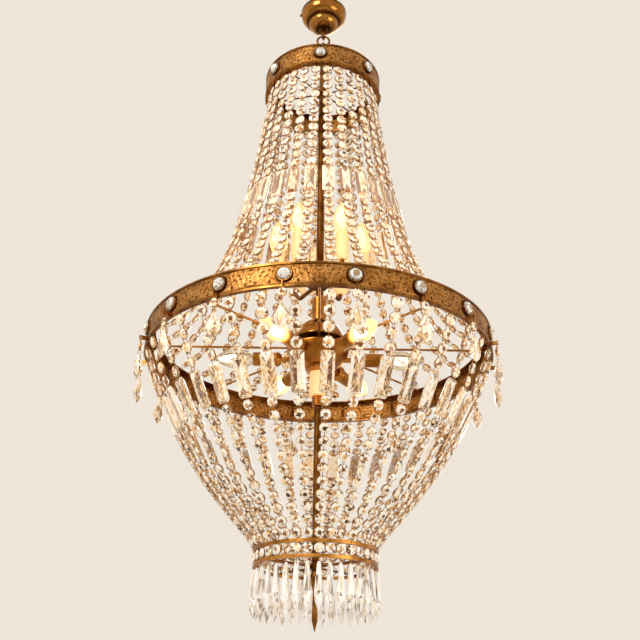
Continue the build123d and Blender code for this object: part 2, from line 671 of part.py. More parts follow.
def hub_cup():
    """Solid turned cup between the dish and the sleeve."""
    top = DISH_BOTTOM
    return turned_profile([(0, top), (DISH_FLOOR_RADIUS, top), (DISH_FLOOR_RADIUS, top - 0.6 * CUP_HEIGHT),
                           (CUP_FOOT_RADIUS, CUP_BOTTOM), (0, CUP_BOTTOM)])


def ribbed_collar():
    """Turned collar with round ribs between the sleeve and the lower stem."""
    pitch = COLLAR_LENGTH / COLLAR_RIBS
    points = [(0, SLEEVE_BOTTOM)]
    for i in range(COLLAR_RIBS):
        top = SLEEVE_BOTTOM - i * pitch
        points += [(COLLAR_RADIUS - 1.5, top), (COLLAR_RADIUS, top - 0.3 * pitch),
                   (COLLAR_RADIUS, top - 0.7 * pitch)]
    points += [(COLLAR_RADIUS - 1.5, COLLAR_BOTTOM), (0, COLLAR_BOTTOM)]
    return turned_profile(points)


# ---- foot ----
def spear():
    """Long faceted prism on a pin: narrow neck, widest low down, then a point."""
    rings = []
    for share, width in ((0.0, SPEAR_NECK), (0.06, 1.5 * SPEAR_NECK), (SPEAR_WIDEST, SPEAR_WIDTH),
                         (0.82, 0.78 * SPEAR_WIDTH)):
        rings.append([front(width / 2 * sin(2 * pi * i / SPEAR_SIDES),
                            FOOT_STRAND_RADIUS + width / 2 * cos(2 * pi * i / SPEAR_SIDES),
                            SPEAR_TOP - share * SPEAR_LENGTH) for i in range(SPEAR_SIDES)])
    rings.append([front(0, FOOT_STRAND_RADIUS, SPEAR_TIP)])
    half = PIN_WIDTH / 2
    pin = [[front(x, FOOT_STRAND_RADIUS + y, z) for x, y in
            ((-half, -half), (half, -half), (half, half), (-half, half))] for z in (FOOT_BOTTOM, SPEAR_TOP)]
    return faceted(rings) + faceted(pin)


def finial():
    """Slim pointed spindle at the end of the lower stem."""
    top, length = LOWER_STEM_BOTTOM, LOWER_STEM_BOTTOM - FINIAL_TIP
    return turned_profile([(0, top), (LOWER_STEM_RADIUS, top), (FINIAL_RADIUS, top - FINIAL_KNOB),
                           (FINIAL_RADIUS, top - FINIAL_KNOB_END),
                           (0.45 * FINIAL_RADIUS, top - FINIAL_WAIST),
                           (0.60 * FINIAL_RADIUS, top - FINIAL_BUD * length), (0, FINIAL_TIP)])


# ---- pendants ----
def pear_outline():
    """Corners (across, down) of a pear drop: a half sine whose peak is pushed down."""
    points = []
    half = DROP_SIDES // 2
    for i in range(half + 1):
        share = 0.06 + 0.94 * i / half
        points.append((DROP_WIDTH / 2 * sin(pi * share ** 1.7), share * DROP_LENGTH))
    return points[:-1] + [(0.0, DROP_LENGTH)] + [(-x, z) for x, z in reversed(points[:-1])]


def pendant():
    """Wire ring, small octagon, link and pear drop, hung at the front of the middle band."""
    ring_height = PENDANT_AXIS - PENDANT_RING
    wire = Pos(0, -PENDANT_RADIUS, ring_height) * Rot(90, 0, 0) * Torus(PENDANT_RING, PENDANT_WIRE)
    bead_top = ring_height - PENDANT_RING - PENDANT_WIRE - 0.8
    stub = Pos(0, -PENDANT_RADIUS, bead_top) * Cylinder(
        PENDANT_WIRE, 0.8 + PENDANT_WIRE, align=(Align.CENTER, Align.CENTER, Align.MIN))
    bead = octagon_bead(OCTAGON_PENDANT, PENDANT_OCTAGON_DEPTH, PENDANT_RADIUS,
                        bead_top - OCTAGON_PENDANT / 2)
    drop_top = bead_top - OCTAGON_PENDANT - PENDANT_LINK
    link = Pos(0, -PENDANT_RADIUS, drop_top) * Cylinder(
        PENDANT_WIRE, PENDANT_LINK, align=(Align.CENTER, Align.CENTER, Align.MIN))
    outline = pear_outline()
    top = outline[0][1]
    centre = 0.62 * DROP_LENGTH
    rings = []
    for scale, deep in ((DROP_TABLE, -DROP_DEPTH / 2), (1.0, 0.0), (DROP_TABLE, DROP_DEPTH / 2)):
        rings.append([front(scale * x, PENDANT_RADIUS + deep,
                            drop_top + top - centre - scale * (z - centre)) for x, z in outline])
    return [wire + stub, bead, link, faceted(rings)]


# ---- the nodes ----
def save(name, pieces):
    """Writes one node: a solid, or a group of separate solids."""
    pieces = pieces if isinstance(pieces, list) else [pieces]
    solids = [solid for piece in pieces for solid in piece.solids()]
    shape = solids[0] if len(solids) == 1 else Compound(children=solids)
    export_step(shape, "parts/" + name + ".step")


def main():
    os.makedirs("parts", exist_ok=True)

    save("ceiling_bracket", ceiling_bracket())
    block = Box(BLOCK_LENGTH, BLOCK_WIDTH, BLOCK_HEIGHT)
    save("terminal_block", Pos(BLOCK_PLACE, 0, -BRACKET_THICKNESS - BLOCK_HEIGHT / 2) * block)
    save("canopy", canopy())
    save("canopy_set_screw", canopy_set_screw())
    save("hook_nuts", [hook_nut(-BRACKET_THICKNESS - BOSS_HEIGHT), hook_nut(-CANOPY_DEPTH)])
    save("ceiling_hook", ceiling_hook())
    save("loop_ring", torus_at(RING_RADIUS, RING_WIRE, RING_HEIGHT, (0, 1, 0)))

    save("top_eye", top_eye())
    save("stem_tube", tube(STEM_RADIUS, STEM_BORE, STEM_TOP, HUB_TOP))
    lead = tube(WIRE_RADIUS, 0, STEM_TOP - SEAT_GAP, HUB_TOP + SEAT_GAP)
    save("stem_wires", [Pos(side * (WIRE_RADIUS + 0.3), 0, 0) * lead for side in (-1, 1)])
    save("crown_band", band(CROWN_RADIUS, CROWN_TOP, CROWN_HEIGHT, CROWN_LIP, CROWN_LIP))
    save("crown_spider", spider(CROWN_HUB_RADIUS, STEM_RADIUS, CROWN_ARM_HEIGHT, CROWN_HUB_HEIGHT,
                                CROWN_ARM_RADIUS, CROWN_RADIUS - BAND_WALL, CROWN_ARM_COUNT,
                                CROWN_ARM_FIRST))
    save("jewel_settings", jewels_with(jewel_setting))
    save("jewels", jewels_with(jewel))

    upper, gem, lower = strand(tent_curve(), TENT_UPPER_RUN, OCTAGON, OCTAGON,
                               (TENT_FOOT_RADIUS, MIDDLE_TOP))
    save("tent_upper_chains", ring_of(upper, TENT_COUNT, TENT_FIRST))
    save("tent_baguettes", ring_of(gem, TENT_COUNT, TENT_FIRST))
    save("tent_lower_chains", ring_of(lower, TENT_COUNT, TENT_FIRST))

    save("upper_light_plate", tube(PLATE_RADIUS, STEM_RADIUS + RUNNING_GAP, PLATE_TOP,
                                   PLATE_TOP - PLATE_HEIGHT))
    save("upper_arms", ring_of(upper_arm(), LAMP_COUNT, LAMP_FIRST))
    save("upper_lampholders", ring_of(upper_place(lampholder(0.0)), LAMP_COUNT, LAMP_FIRST))
    save("upper_bulbs", ring_of(upper_place(bulb(HOLDER_LENGTH)), LAMP_COUNT, LAMP_FIRST))

    save("middle_band", middle_band())
    save("spokes", ring_of(radial_rod(SPOKE_RADIUS, HUB_CORE_RADIUS + SEAT_GAP,
                                      MIDDLE_RADIUS - BAND_WALL - SEAT_GAP, SPOKE_HEIGHT), SPOKE_COUNT))
    save("hub_body", hub_body())
    save("hub_dome", hub_dome())
    save("hub_dish", hub_dish())
    save("hub_cup", hub_cup())
    save("hub_sleeve", tube(SLEEVE_RADIUS, 0, CUP_BOTTOM, SLEEVE_BOTTOM))
    save("ribbed_collar", ribbed_collar())
    nipple = LOWER_LAMP_START - HUB_CORE_RADIUS
    save("lower_lampholders", ring_of(lower_place(lampholder(nipple)), LAMP_COUNT, LAMP_FIRST))
    save("lower_bulbs", ring_of(lower_place(bulb(nipple + HOLDER_LENGTH)), LAMP_COUNT, LAMP_FIRST))

    upper, gem, lower = strand(basket_curve(), BASKET_UPPER_RUN, OCTAGON, OCTAGON_SMALL,
                               (FOOT_STRAND_RADIUS, FOOT_TOP))
    save("basket_upper_chains", ring_of(upper, BASKET_COUNT, BASKET_FIRST))
    save("basket_baguettes", ring_of(gem, BASKET_COUNT, BASKET_FIRST))
    save("basket_lower_chains", ring_of(lower, BASKET_COUNT, BASKET_FIRST))

    save("lower_stem", tube(LOWER_STEM_RADIUS, 0, COLLAR_BOTTOM, LOWER_STEM_BOTTOM))
    save("finial", finial())
    inner = FOOT_RADIUS - FOOT_WIDTH
    save("foot_upper_band", tube(FOOT_RADIUS, inner, FOOT_TOP, FOOT_UPPER_BOTTOM))
    save("foot_lower_band", tube(FOOT_RADIUS, inner, FOOT_LOWER_TOP, FOOT_BOTTOM))
    save("foot_spider", spider(FOOT_HUB_RADIUS, LOWER_STEM_RADIUS, FOOT_LOWER_TOP - FOOT_BAND_HEIGHT / 2,
                               FOOT_HUB_HEIGHT, FOOT_ARM_RADIUS, inner, FOOT_ARM_COUNT, 45.0))
    bead = (FOOT_STRAND_RADIUS, (FOOT_UPPER_BOTTOM + FOOT_LOWER_TOP) / 2, (0.0, -1.0))
    foot_bead = chain([bead], OCTAGON_FOOT, (FOOT_STRAND_RADIUS, FOOT_UPPER_BOTTOM), (1.0, 0.0),
                      (FOOT_STRAND_RADIUS, FOOT_LOWER_TOP), (1.0, 0.0))
    save("foot_octagons", ring_of(foot_bead, FOOT_COUNT, FOOT_FIRST))
    save("foot_spears", ring_of(spear(), FOOT_COUNT, FOOT_FIRST))

    for i in range(MIDDLE_JEWEL_COUNT):
        azimuth = MIDDLE_JEWEL_FIRST + 360.0 * i / MIDDLE_JEWEL_COUNT
        save(f"pendant_{i + 1:02d}", [turned(piece, azimuth) for piece in pendant()])

    print("loop ring swings at", round(RING_AXIS, 3), "frame swings at", round(FRAME_AXIS, 3))
    print("pendants swing at radius", PENDANT_RADIUS, "height", PENDANT_AXIS)


main()
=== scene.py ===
# %% [markdown]
# # A crystal chandelier, dressed piece by piece
# The lamp hangs from a ceiling hook: a stepped canopy, a crown band, a tent of octagon strands, a
# wide middle band with pear drops, and a basket of strands over a ring of spears.
# The CAD parts give each piece its place. Here the crystals get their facets, the brass its
# stamping and its patina, and the bulbs their glow. Lengths below are in millimetres, as on a
# drawing, and one factor turns them into metres when a mesh is made.

# %% Load the fixed frame
import json
from math import asinh, cosh, pi, radians, sinh

import bmesh
import bpy
import numpy as np
from mathutils import Matrix


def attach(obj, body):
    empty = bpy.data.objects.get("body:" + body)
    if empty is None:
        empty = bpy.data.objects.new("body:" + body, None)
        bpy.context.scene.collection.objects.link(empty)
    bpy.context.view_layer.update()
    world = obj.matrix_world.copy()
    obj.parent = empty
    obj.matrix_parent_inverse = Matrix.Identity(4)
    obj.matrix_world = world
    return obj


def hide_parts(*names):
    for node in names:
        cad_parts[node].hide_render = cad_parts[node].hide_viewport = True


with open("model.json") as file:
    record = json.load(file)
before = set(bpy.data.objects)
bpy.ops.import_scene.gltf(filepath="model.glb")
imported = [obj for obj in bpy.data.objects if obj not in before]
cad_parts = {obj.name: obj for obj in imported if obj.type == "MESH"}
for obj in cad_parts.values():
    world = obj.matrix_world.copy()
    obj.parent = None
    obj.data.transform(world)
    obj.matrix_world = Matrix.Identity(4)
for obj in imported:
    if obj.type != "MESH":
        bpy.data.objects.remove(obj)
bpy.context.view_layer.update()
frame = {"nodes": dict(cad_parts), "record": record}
MM = 0.001
DRAW = np.random.default_rng(7)    # one seed, so every run cuts the same stones

# %% [markdown]
# ## The view
# The lamp was photographed from a little below its foot, with the camera tilted up. The lens is
# of normal length and close to the lamp, so the rings show as open ellipses and the foot looks
# large beside the crown. The camera is set by a place and three angles, and isn't aimed by hand.

# %% Camera
SENSOR, PICTURE_WIDTH, LENS_IN_PIXELS = 36.0, 640, 905
EYE = (0.0, -1.461, -1.4325)
TILT_UP, ROLL, YAW = 25.74, 0.84, -0.06
camera_data = bpy.data.cameras.new("view")
camera_data.sensor_width = SENSOR
camera_data.lens = SENSOR * LENS_IN_PIXELS / PICTURE_WIDTH
camera = bpy.data.objects.new("view", camera_data)
camera.location = EYE
camera.rotation_mode = "XYZ"
camera.matrix_world = (Matrix.Translation(camera.location) @ Matrix.Rotation(radians(YAW), 4, "Z")
                       @ Matrix.Rotation(radians(90 + TILT_UP), 4, "X")
                       @ Matrix.Rotation(radians(ROLL), 4, "Z"))
bpy.context.collection.objects.link(camera)
bpy.context.scene.camera = camera
bpy.context.scene.view_settings.view_transform = "Standard"

# %% [markdown]
# ## Shader maths as plain expressions
# A pattern is easier to read as a formula than as a row of boxes. This class wraps the output
# of a shader node, so that + - * on it add the Math nodes, and one function adds any other
# node from its type, its settings and its inputs.

# %% Expressions for shader nodes
class Value:
    """An output socket of a node tree that can be used in arithmetic."""

    def __init__(self, tree, socket):
        self.tree, self.socket = tree, socket

    def maths(self, operation, other, swap=False):
        """One Math node on this value and another; swap puts the other first."""
        pair = (other, self) if swap else (self, other)
        return node(self.tree, "ShaderNodeMath", {"operation": operation}, {0: pair[0], 1: pair[1]})

    def __add__(self, other):
        return self.maths("ADD", other)

    def __sub__(self, other):
        return self.maths("SUBTRACT", other)

    def __rsub__(self, other):
        return self.maths("SUBTRACT", other, swap=True)

    def __mul__(self, other):
        return self.maths("MULTIPLY", other)

    __radd__, __rmul__ = __add__, __mul__

    def between(self, low, high):
        """0 below low, 1 above high, and smooth between."""
        return node(self.tree, "ShaderNodeMapRange", {"interpolation_type": "SMOOTHSTEP"},
                    {"Value": self, "From Min": low, "From Max": high})


def node(tree, kind, settings, inputs, output=0):
    """Adds one node; an input is a number, a colour or a Value."""
    made = tree.nodes.new(kind)
    for key, setting in settings.items():
        if key == "stops":
            ramp = made.color_ramp
            while len(ramp.elements) < len(setting):
                ramp.elements.new(1.0)
            for element, (position, color) in zip(ramp.elements, setting):
                element.position, element.color = position, (*color, 1.0)
        else:
            setattr(made, key, setting)
    for key, value in inputs.items():
        if isinstance(value, Value):
            tree.links.new(value.socket, made.inputs[key])
        elif value is not None:
            made.inputs[key].default_value = value
    return Value(tree, made.outputs[output])


def start_material(name):
    """An empty material: its tree, its object coordinates and its surface node."""
    material = bpy.data.materials.new(name)
    material.use_nodes = True
    tree = material.node_tree
    tree.nodes.clear()
    place = node(tree, "ShaderNodeTexCoord", {}, {}, output="Object")
    surface = tree.nodes.new("ShaderNodeBsdfPrincipled")
    end = tree.nodes.new("ShaderNodeOutputMaterial")
    tree.links.new(surface.outputs[0], end.inputs[0])
    return material, tree, place, surface


def feed(tree, surface, **inputs):
    """Sets the surface's sockets; an underscore in a name stands for a space."""
    for key, value in inputs.items():
        socket = surface.inputs[key.replace("_", " ")]
        if isinstance(value, Value):
            tree.links.new(value.socket, socket)
        else:
            socket.default_value = value


def mix(tree, share, first, second):
    """A colour between two colours."""
    return node(tree, "ShaderNodeMix", {"data_type": "RGBA"},
                {0: share, 6: first, 7: second}, output=2)


def noise(tree, place, scale, detail=3.0):
    """Cloudy noise between 0 and 1, with about scale clouds to the metre."""
    return node(tree, "ShaderNodeTexNoise", {},
                {"Vector": place, "Scale": scale, "Detail": detail, "Roughness": 0.6})


def bump(tree, height, strength, distance):
    """Tilts the shading by a height; distance is the height of 1, in metres."""
    return node(tree, "ShaderNodeBump", {},
                {"Strength": strength, "Distance": distance, "Height": height})


# %% [markdown]
# ## Room and light
# The chandelier hangs in a plain pale room. The background colour is given to the rays that come
# from the camera and to those that a gloss or a glass sends on, and the light itself comes from
# a soft world and three area lamps, so a paler background never means more light on the brass.

# %% World and lamps
BACKGROUND, AIR_LIGHT = (0.86, 0.785, 0.69, 1.0), (1.0, 0.97, 0.93, 1.0)
FLOOR_SIDE, FLOOR_HEIGHT = 6, -2.45
world = bpy.data.worlds.new("room")
bpy.context.scene.world = world
world.use_nodes = True
air = world.node_tree
air.nodes.clear()
path = air.nodes.new("ShaderNodeLightPath")
seen = Value(air, path.outputs["Is Camera Ray"])
for kind in ("Is Glossy Ray", "Is Transmission Ray"):
    seen = seen.maths("MAXIMUM", Value(air, path.outputs[kind]))
shade = node(air, "ShaderNodeBackground", {}, {"Color": AIR_LIGHT, "Strength": 0.62})
pale = node(air, "ShaderNodeBackground", {}, {"Color": BACKGROUND, "Strength": 1.0})
both = node(air, "ShaderNodeMixShader", {}, {0: seen, 1: shade, 2: pale})
air.links.new(both.socket, air.nodes.new("ShaderNodeOutputWorld").inputs[0])


def area_lamp(name, place, aim, size, watts, color):
    """A square soft lamp at a place, in metres, turned to a point."""
    data = bpy.data.lights.new(name, "AREA")
    data.size, data.energy, data.color = size, watts, color
    lamp = bpy.data.objects.new(name, data)
    lamp.location = place
    away = lamp.location - type(lamp.location)(aim)
    lamp.rotation_euler = away.to_track_quat("Z", "Y").to_euler()
    bpy.context.collection.objects.link(lamp)


MIDDLE = (0.0, 0.0, -0.65)
area_lamp("key", (-1.3, -2.0, 0.3), MIDDLE, size=0.9, watts=34.0, color=(1.0, 0.97, 0.92))
area_lamp("fill", (1.9, -1.4, -1.2), MIDDLE, size=1.2, watts=16.0, color=(1.0, 0.96, 0.90))
area_lamp("back", (0.4, 2.2, 0.2), MIDDLE, size=1.4, watts=22.0, color=(1.0, 0.98, 0.95))

material, tree, place, surface = start_material("floor_paint")
speck = noise(tree, place, 9.0)
feed(tree, surface, Roughness=0.9,
     Base_Color=mix(tree, speck, (0.80, 0.75, 0.68, 1), (0.76, 0.71, 0.64, 1)))
mesh = bpy.data.meshes.new("floor")
mesh.from_pydata([(-FLOOR_SIDE, -FLOOR_SIDE, FLOOR_HEIGHT), (FLOOR_SIDE, -FLOOR_SIDE, FLOOR_HEIGHT),
                  (FLOOR_SIDE, FLOOR_SIDE, FLOOR_HEIGHT), (-FLOOR_SIDE, FLOOR_SIDE, FLOOR_HEIGHT)],
                 [], [(0, 1, 2, 3)])
floor = bpy.data.objects.new("floor", mesh)
bpy.context.collection.objects.link(floor)
mesh.materials.append(material)

# %% [markdown]
# ## Brass
# Lamp brass is spun, stamped or drawn, then aged: brown lacquer stays in the hollows and the
# high places are worn bright. The plain parts get a cloudy patina and fine hair lines. A browner
# copy of it is painted shade on the stem and its arms, and a yellower copy is painted lamplight
# near the bulbs. The stamped bands read their height, stored on their mesh, so the recesses go
# dark with lacquer and painted shade. The spun shells read a painted shade stored on their mesh,
# dark where the sheet turns a corner and on its inside.

# %% Brass finishes
def brass(name, bright, dull, rough, hair, relief=None):
    """Aged brass, bright where it is worn and dull where it isn't; hair is the depth of its lines.

    relief is (colour of the hollows, height where the bright colour starts, height where it is full).
    The hollows' colour is lacquer and painted shade, and on the spun shells painted shade alone.
    """
    material, tree, place, surface = start_material(name)
    cloud = noise(tree, place, 38.0, 5.0)
    fine = noise(tree, place, 420.0, 2.0)
    color = mix(tree, cloud.between(0.35, 0.68), dull, bright)
    roughness = rough + cloud * 0.14
    height = fine
    if relief:
        # The hollows' colour is lacquer and painted shade on the stamped bands, painted shade alone on the
        # spun shells.
        hollow, low, high = relief
        raised = node(tree, "ShaderNodeAttribute", {"attribute_name": "relief"}, {}, output="Fac")
        rubbed_and_lit = (raised + (fine - 0.5) * 0.3).between(low, high)
        color = mix(tree, rubbed_and_lit, hollow, color)
        roughness = rough + 0.16 - rubbed_and_lit * 0.16
    if hair:
        stretched = node(tree, "ShaderNodeMapping", {}, {"Vector": place, "Scale": (60, 60, 900)})
        height = height + noise(tree, stretched, 1.0, 2.0) * hair
    feed(tree, surface, Base_Color=color, Metallic=1.0, Roughness=roughness,
         Normal=bump(tree, height, 0.25, 0.0006))
    return material


BRASS = brass("antique_brass", (0.40, 0.180, 0.040, 1), (0.17, 0.062, 0.011, 1), rough=0.20, hair=0.6)
# A browner, darker copy is painted shade, for the stem, its arms, the upper plate and the spiders.
SHADED_BRASS = brass("shaded_brass", (0.24, 0.095, 0.016, 1), (0.09, 0.030, 0.005, 1), rough=0.28, hair=0.6)
# A yellower, brighter copy is painted lamplight, for the parts near the bulbs and for the links.
LAMPLIT_BRASS = brass("lit_brass", (0.62, 0.28, 0.055, 1), (0.30, 0.11, 0.016, 1), rough=0.24, hair=0.4)
# Stamped strips: their hollows darken with lacquer and painted shade.
STAMPED = brass("stamped_brass", (0.62, 0.30, 0.085, 1), (0.36, 0.150, 0.032, 1), rough=0.42, hair=0.0,
                relief=((0.070, 0.024, 0.004, 1), 0.12, 0.66))
# Spun shells: their dark colour is painted shade at the corners and on the inside.
SPUN = brass("spun_brass", (0.52, 0.235, 0.050, 1), (0.32, 0.125, 0.021, 1), rough=0.13, hair=0.0,
             relief=((0.050, 0.016, 0.003, 1), 0.05, 0.95))

# %% [markdown]
# ## Crystal
# Clear glass shows what is behind it, bent by every facet, so a cut stone looks like a patchwork
# of white, cream, amber and near black. A few samples can't trace all of those paths cleanly.
# Each facet therefore carries a tone of its own on the mesh, a painted reflection, which a colour
# ramp turns into one of those colours, and the stone gives off a weak painted glow of it. A share
# of clear glass and the gloss go over it. Four ramps serve the octagons, the long stones, the
# colder spears and the greyer jewels.

# %% Glass finishes
def crystal(name, stops, clear, glow, grain, tone_streaks):
    """Cut glass coloured by each facet's tone, a painted reflection, which drifts in streaks along a
    stretched noise.

    clear is the share of real glass and glow the painted light that the stone hands on. Near a lit
    bulb (warm towards 1) a stone takes the bulb's yellow as painted lamplight and glows more.
    """
    material, tree, place, surface = start_material(name)
    tone = node(tree, "ShaderNodeAttribute", {"attribute_name": "tone"}, {}, output="Fac")
    warm = node(tree, "ShaderNodeAttribute", {"attribute_name": "warm"}, {}, output="Fac")
    stretched = node(tree, "ShaderNodeMapping", {}, {"Vector": place, "Scale": grain})
    drift = noise(tree, stretched, 1.0, 2.0)
    shade = tone + (drift - 0.5) * tone_streaks
    color = node(tree, "ShaderNodeValToRGB", {"stops": stops}, {0: shade})
    lamplight = mix(tree, shade.between(0.1, 0.9), (1.0, 0.82, 0.40, 1), (0.50, 0.16, 0.015, 1))
    color = mix(tree, warm * 0.62, color, lamplight)
    feed(tree, surface, Base_Color=color, Roughness=0.03 + drift * 0.05, IOR=1.55,
         Transmission_Weight=clear, Emission_Strength=glow,
         Emission_Color=mix(tree, warm, mix(tree, 0.75, color, (0, 0, 0, 1)), color))
    return material


SPARKLE = [(0.0, (1.0, 0.98, 0.93)), (0.36, (1.0, 0.92, 0.74)), (0.47, (1.0, 0.68, 0.30)),
           (0.58, (0.80, 0.38, 0.09)), (0.68, (0.45, 0.29, 0.14)), (0.77, (0.38, 0.145, 0.027)),
           (0.88, (0.12, 0.048, 0.014)), (1.0, (0.012, 0.006, 0.004))]
LONG_GLASS = [(0.0, (1.0, 1.0, 0.97)), (0.24, (1.0, 0.88, 0.66)), (0.38, (0.98, 0.62, 0.24)),
              (0.50, (0.80, 0.42, 0.13)), (0.62, (0.52, 0.45, 0.38)), (0.82, (0.30, 0.15, 0.05)),
              (1.0, (0.05, 0.03, 0.02))]
ICE = [(0.0, (1.0, 1.0, 1.0)), (0.36, (1.0, 0.96, 0.90)), (0.50, (0.98, 0.74, 0.42)),
       (0.62, (0.62, 0.64, 0.68)), (0.78, (0.40, 0.27, 0.15)), (1.0, (0.05, 0.035, 0.03))]
ROCK = [(0.0, (1.0, 1.0, 1.0)), (0.34, (0.90, 0.89, 0.86)), (0.48, (0.50, 0.49, 0.47)),
        (0.64, (0.16, 0.14, 0.12)), (0.80, (0.62, 0.40, 0.17)), (1.0, (0.01, 0.01, 0.01))]
CRYSTAL = crystal("cut_crystal", SPARKLE, clear=0.12, glow=0.22, grain=(330, 330, 330), tone_streaks=1.05)
PRISM = crystal("prism_crystal", LONG_GLASS, clear=0.22, glow=0.26, grain=(400, 400, 22), tone_streaks=2.4)
SPEAR = crystal("spear_crystal", ICE, clear=0.30, glow=0.40, grain=(420, 420, 30), tone_streaks=1.5)
JEWEL = crystal("jewel_crystal", ROCK, clear=0.20, glow=0.15, grain=(420, 420, 420), tone_streaks=1.2)


def bulb_glass(name, warmth):
    """Clear glass; a lit bulb (lit is 1 on its faces) glows yellow, more so at its edge."""
    material, tree, place, surface = start_material(name)
    facing = node(tree, "ShaderNodeLayerWeight", {}, {"Blend": 0.35}, output="Facing")
    lit = node(tree, "ShaderNodeAttribute", {"attribute_name": "lit"}, {}, output="Fac")
    # The glass's cream-to-amber colour, mottled by a noise, is painted warmth of the lamps.
    warm_mottle = noise(tree, place, 60.0)
    heat = mix(tree, facing, (1.0, 0.66, 0.19, 1), (1.0, 0.44, 0.06, 1))
    feed(tree, surface, Base_Color=mix(tree, warm_mottle, (1.0, 0.95, 0.82, 1), (1.0, 0.86, 0.62, 1)),
         Roughness=0.05, IOR=1.45, Transmission_Weight=0.85,
         Emission_Color=mix(tree, lit, (0, 0, 0, 1), heat), Emission_Strength=warmth)
    return material


def filament(name, strength):
    """The glare of the filament: nearly white, with a flicker over it."""
    material, tree, place, surface = start_material(name)
    flicker = noise(tree, place, 90.0)
    feed(tree, surface, Base_Color=(1, 0.9, 0.7, 1), Emission_Strength=strength,
         Emission_Color=mix(tree, flicker, (1.0, 0.93, 0.72, 1), (1.0, 0.84, 0.50, 1)))
    return material


BULB = {"upper": bulb_glass("upper_bulb_glass", warmth=0.30),
        "lower": bulb_glass("lower_bulb_glass", warmth=0.62)}
GLOW = {"upper": filament("upper_filament", strength=0.9),
        "lower": filament("lower_filament", strength=6.0)}

# %% [markdown]
# ## Plain finishes
# Three small parts hide in the canopy and the stem: a zinc-plated steel strap, a moulded
# terminal block and two insulated wires. Each still gets its own grain. The sleeve under the
# hub and the upper lampholders are pale tubes that the bulbs light from inside, more orange
# towards their edges.

# %% Steel, plastic, wire and sleeve
def plain(name, first, second, scale, metallic, rough, strength):
    """A grain of two colours that also roughens the surface; strength is that of its bump."""
    material, tree, place, surface = start_material(name)
    grain = noise(tree, place, scale, 4.0)
    feed(tree, surface, Base_Color=mix(tree, grain, first, second), Metallic=metallic,
         Roughness=rough + grain * 0.15, Normal=bump(tree, grain, strength, 0.0004))
    return material


ZINC = plain("zinc_steel", (0.55, 0.56, 0.56, 1), (0.70, 0.70, 0.68, 1),
             scale=60.0, metallic=1.0, rough=0.28, strength=0.2)
MOULDED = plain("terminal_plastic", (0.82, 0.80, 0.74, 1), (0.88, 0.86, 0.81, 1),
                scale=220.0, metallic=0.0, rough=0.45, strength=0.3)
SHEATH = plain("wire_insulation", (0.50, 0.40, 0.22, 1), (0.60, 0.49, 0.30, 1),
               scale=180.0, metallic=0.0, rough=0.4, strength=0.2)

SLEEVE, tree, place, surface = start_material("candle_sleeve")
cream = noise(tree, place, 90.0)
turned = node(tree, "ShaderNodeLayerWeight", {}, {"Blend": 0.5}, output="Facing")
# The sleeve's glow is painted light of the bulbs inside, more orange towards the edges.
feed(tree, surface, Base_Color=mix(tree, cream, (0.95, 0.62, 0.26, 1), (1.0, 0.76, 0.42, 1)),
     Emission_Color=mix(tree, turned, (1.0, 0.74, 0.36, 1), (0.85, 0.30, 0.04, 1)),
     Emission_Strength=0.55, Roughness=0.4)

# %% [markdown]
# ## Meshes from arrays
# Every new piece is worked out as whole arrays of points. One helper puts points and faces into
# a mesh, gives it its finish, hangs it on the CAD body it rides on, and hides the CAD parts it
# stands for.

# %% Put a piece together
def piece(name, points, faces, body, slot, material, stands_for=(), smooth=False, **values):
    """Points are (n, 3) in mm and faces a list of (count, k) corner arrays.

    A value is kept on the mesh as an attribute: (domain, one number for each face or point).
    """
    mesh = bpy.data.meshes.new(name)
    mesh.vertices.add(len(points))
    mesh.vertices.foreach_set("co", (points * MM).astype(np.float32).ravel())
    corners = np.concatenate([block.ravel() for block in faces]).astype(np.int32)
    sizes = np.concatenate([np.full(len(block), block.shape[1]) for block in faces])
    mesh.loops.add(len(corners))
    mesh.loops.foreach_set("vertex_index", corners)
    mesh.polygons.add(len(sizes))
    mesh.polygons.foreach_set("loop_start", np.concatenate([[0], np.cumsum(sizes)[:-1]]).astype(np.int32))
    mesh.update(calc_edges=True)
    mesh.polygons.foreach_set("use_smooth", np.full(len(sizes), smooth))
    for key, (domain, row) in values.items():
        mesh.attributes.new(key, "FLOAT", domain).data.foreach_set("value", row.astype(np.float32))
    mesh.materials.append(material)
    made = bpy.data.objects.new(name, mesh)
    bpy.context.collection.objects.link(made)
    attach(made, body)
    if stands_for:
        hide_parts(*stands_for)
    return made


def quads(rows, columns, wrap_rows=False, wrap_columns=False):
    """Corner indices of the squares of a grid of rows by columns."""
    row = np.arange(rows if wrap_rows else rows - 1)[:, None]
    column = np.arange(columns if wrap_columns else columns - 1)[None, :]
    below, beside = (row + 1) % rows, (column + 1) % columns
    return np.stack([row * columns + column, row * columns + beside,
                     below * columns + beside, below * columns + column], -1).reshape(-1, 4)


def at_azimuth(azimuth, radius, height):
    """A point at a radius and height; azimuth runs from the front (-Y) towards +X, in degrees."""
    turn = np.radians(azimuth)
    return np.stack(np.broadcast_arrays(radius * np.sin(turn), -radius * np.cos(turn), height), -1)


def places(azimuth, radius, height, run, fall):
    """Axes of something at each azimuth: origin, across, along (run out, fall up), outward."""
    azimuth, radius, height, run, fall = np.broadcast_arrays(azimuth, radius, height, run, fall)
    across = at_azimuth(azimuth + 90.0, 1.0, 0.0 * azimuth)
    return np.stack([at_azimuth(azimuth, radius, height), across,
                     at_azimuth(azimuth, run, fall), at_azimuth(azimuth, -fall, run)], -2).reshape(-1, 4, 3)


def twisted(spots, most):
    """Turns each place about its own length by a chance angle, in degrees."""
    turn = np.radians(DRAW.uniform(-most, most, len(spots)))[:, None]
    made = spots.copy()
    made[:, 1] = spots[:, 1] * np.cos(turn) + spots[:, 3] * np.sin(turn)
    made[:, 3] = spots[:, 3] * np.cos(turn) - spots[:, 1] * np.sin(turn)
    return made


